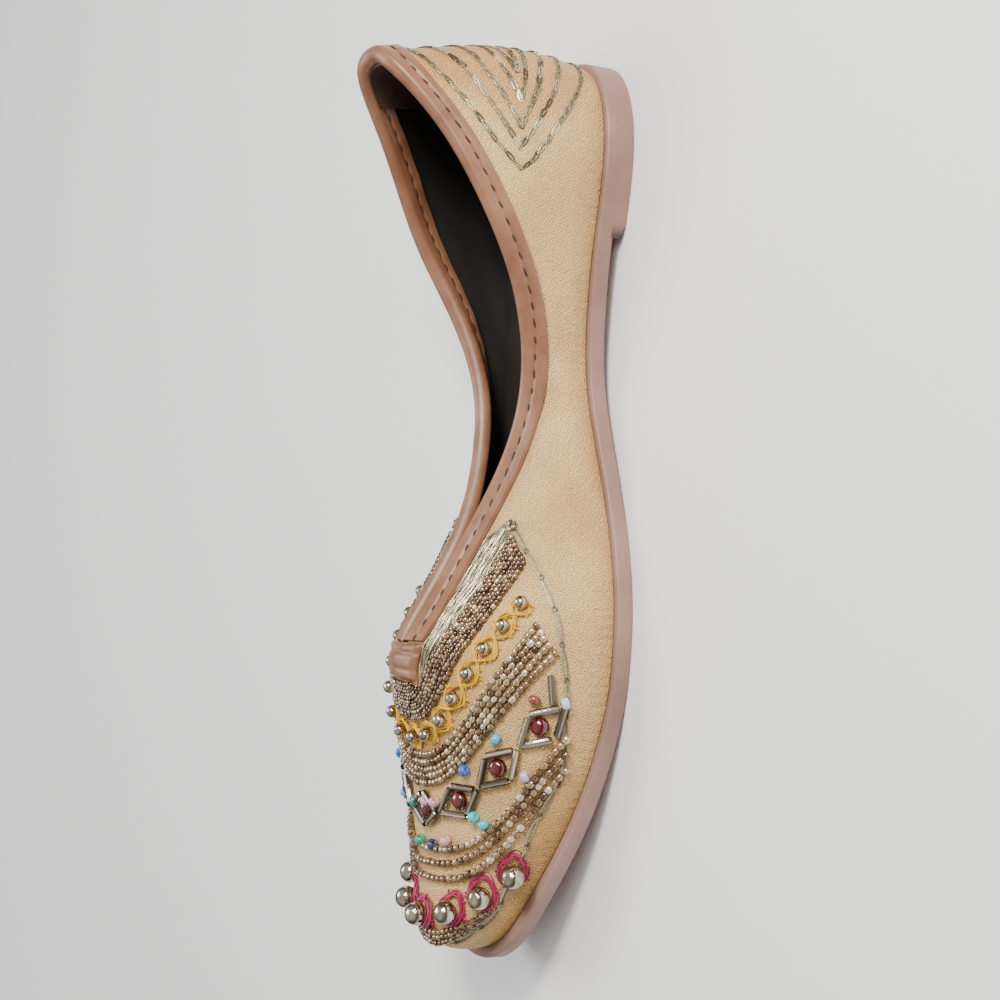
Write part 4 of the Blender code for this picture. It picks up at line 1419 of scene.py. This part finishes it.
# Nested chevrons round the heel, from the middle of the back out and down to it again, as sections and rib shares.
CHEVRONS = (
    ((0.0, 0.86), (0.33, 0.85), (1.25, 0.80), (2.05, 0.72), (2.42, 0.60)),
    ((2.42, 0.60), (2.33, 0.50), (2.08, 0.335), (1.68, 0.17), (1.1, 0.07), (0.0, 0.05)),
    ((0.0, 0.735), (0.68, 0.70), (1.07, 0.67), (1.70, 0.625), (2.20, 0.56)),
    ((2.20, 0.56), (1.95, 0.40), (1.53, 0.245), (0.9, 0.16), (0.0, 0.13)),
    ((0.0, 0.60), (0.83, 0.575), (1.35, 0.555), (1.98, 0.50)),
    ((1.98, 0.50), (1.50, 0.33), (0.8, 0.24), (0.0, 0.22)),
    ((0.0, 0.49), (1.03, 0.475), (1.68, 0.45)),
    ((1.68, 0.45), (1.30, 0.37), (0.7, 0.315), (0.0, 0.30)),
    ((0.0, 0.435), (0.7, 0.43), (1.30, 0.41), (0.7, 0.375), (0.0, 0.365)),
)


# Outline of the beaded panel: how far out it runs and its place along the shoe, in millimetres
PANEL_OUTLINE = (
    (16.8, 130.5), (29.7, 142.9), (35.1, 150.9), (37.6, 157.4), (39.0, 166.1), (39.4, 174.5), (38.8, 184.5),
    (37.4, 196.1), (34.3, 205.7), (31.2, 212.9), (28.6, 219.8), (23.4, 230.0), (19.6, 237.3), (15.2, 242.6),
    (9.0, 246.8), (0.0, 248.9),
)


def make_zari():
    groups, strands, tones = [], [], []
    for side in (NEAR, FAR):
        for points in CHEVRONS:
            line = smooth_through(points)
            path = Path(np.clip(line[:, 0], 0, LAST_SECTION), line[:, 1], side)
            groups.append(chain(path))
        half, y = smooth_through(PANEL_OUTLINE, 220).T * 0.001
        path = path_seen(middle(y) + side * half, y)
        run = np.linspace(0, path.length, 260)
        place, forward, normal = path.at(run)
        sideways = np.cross(normal, forward)
        for k in range(4):
            open_by = (0.00055 + 0.00022 * (k // 2)) * (-1) ** k * np.abs(np.sin(math.pi * run / KNOT_PITCH)) ** 0.6
            lift = 0.00022 + 0.0001 * np.sin(run / 0.0031 + 2 * k)
            strands.append(place + sideways * open_by[:, None] + normal * lift[:, None])
            tones.append(chance.uniform(0.25, 0.8))
        knots = path.even(KNOT_PITCH)
        place, forward, normal = path.at(knots)
        place = place + normal * 0.00035
        groups.append(copies("knots", LINK, place, forward, normal, (0.0016, 0.0012, 0.0007), 0.3))
    groups.append(thread_mesh("outline", strands, OUTLINE_STRAND, tones))
    work = join_pieces("zari_chain_stitch", groups)
    tidy_mesh(work)
    dress(work, ZARI, "brocade", angle=80)


FILL_ROWS = 27
FILL_KNOT = 0.0168, 0.1305  # how far out and how far along the knot at the wedge's back corner lies


def make_zari_fill():
    """Laid zari threads that fill the wedge between the binding and the first band of beads, with a knot at its
    back corner."""
    strands, tones = [], []
    q = np.linspace(-1, 0, 60)
    row_x, row_y = bead_line("band 1 back", q)
    for side in (NEAR, FAR):
        border = binding_path(side, 1.0, 5.5).points
        for k in range(FILL_ROWS):
            share = k / (FILL_ROWS - 1)
            y = np.linspace(0.1300 + 0.0025 * share, 0.1735 - 0.008 * share * chance.random(), 60)
            inner = np.interp(y, border[:, 1], np.abs(border[:, 0] - middle(border[:, 1]))) + 0.0006
            outer = np.interp(y, row_y, middle(row_y) - row_x) + 0.0003
            closed = smooth_step((y - 0.1280) / 0.008)
            drift = 0.00025 * np.sin(y / 0.0016 + 1.3 * k)
            half = inner + np.maximum(outer - inner, 0) * (0.6 + (share - 0.6) * closed) + drift
            path = path_seen(middle(y) + side * half, y)
            lift = 0.0004 + 0.00025 * np.sin(y / 0.0023 + k * 2.1) + 0.00025 * (k % 3)
            strands.append(path.points + path.normals * lift[:, None])
            tones.append(chance.uniform(0.0, 0.85))
        out, y = FILL_KNOT
        (centre,), (normal,) = on_cloth(middle(y) + side * out, y)
        for _ in range(18):
            angle = np.linspace(0, chance.uniform(4, 7), 16)
            axis = unit(np.cross(normal, chance.normal(0, 1, 3)))
            other = np.cross(axis, normal + chance.normal(0, 0.3, 3))
            radius = chance.uniform(0.0007, 0.0016)
            turn, rise = radius * np.cos(angle)[:, None], radius * np.sin(angle)[:, None]
            strands.append(centre + normal * 0.0009 + axis * turn + other * rise)
            tones.append(chance.uniform(0.0, 1.0))
    fill = thread_mesh("zari_fill", strands, FILL_STRAND, tones)
    dress(fill, ZARI, "brocade", angle=80)


make_zari()
make_zari_fill()
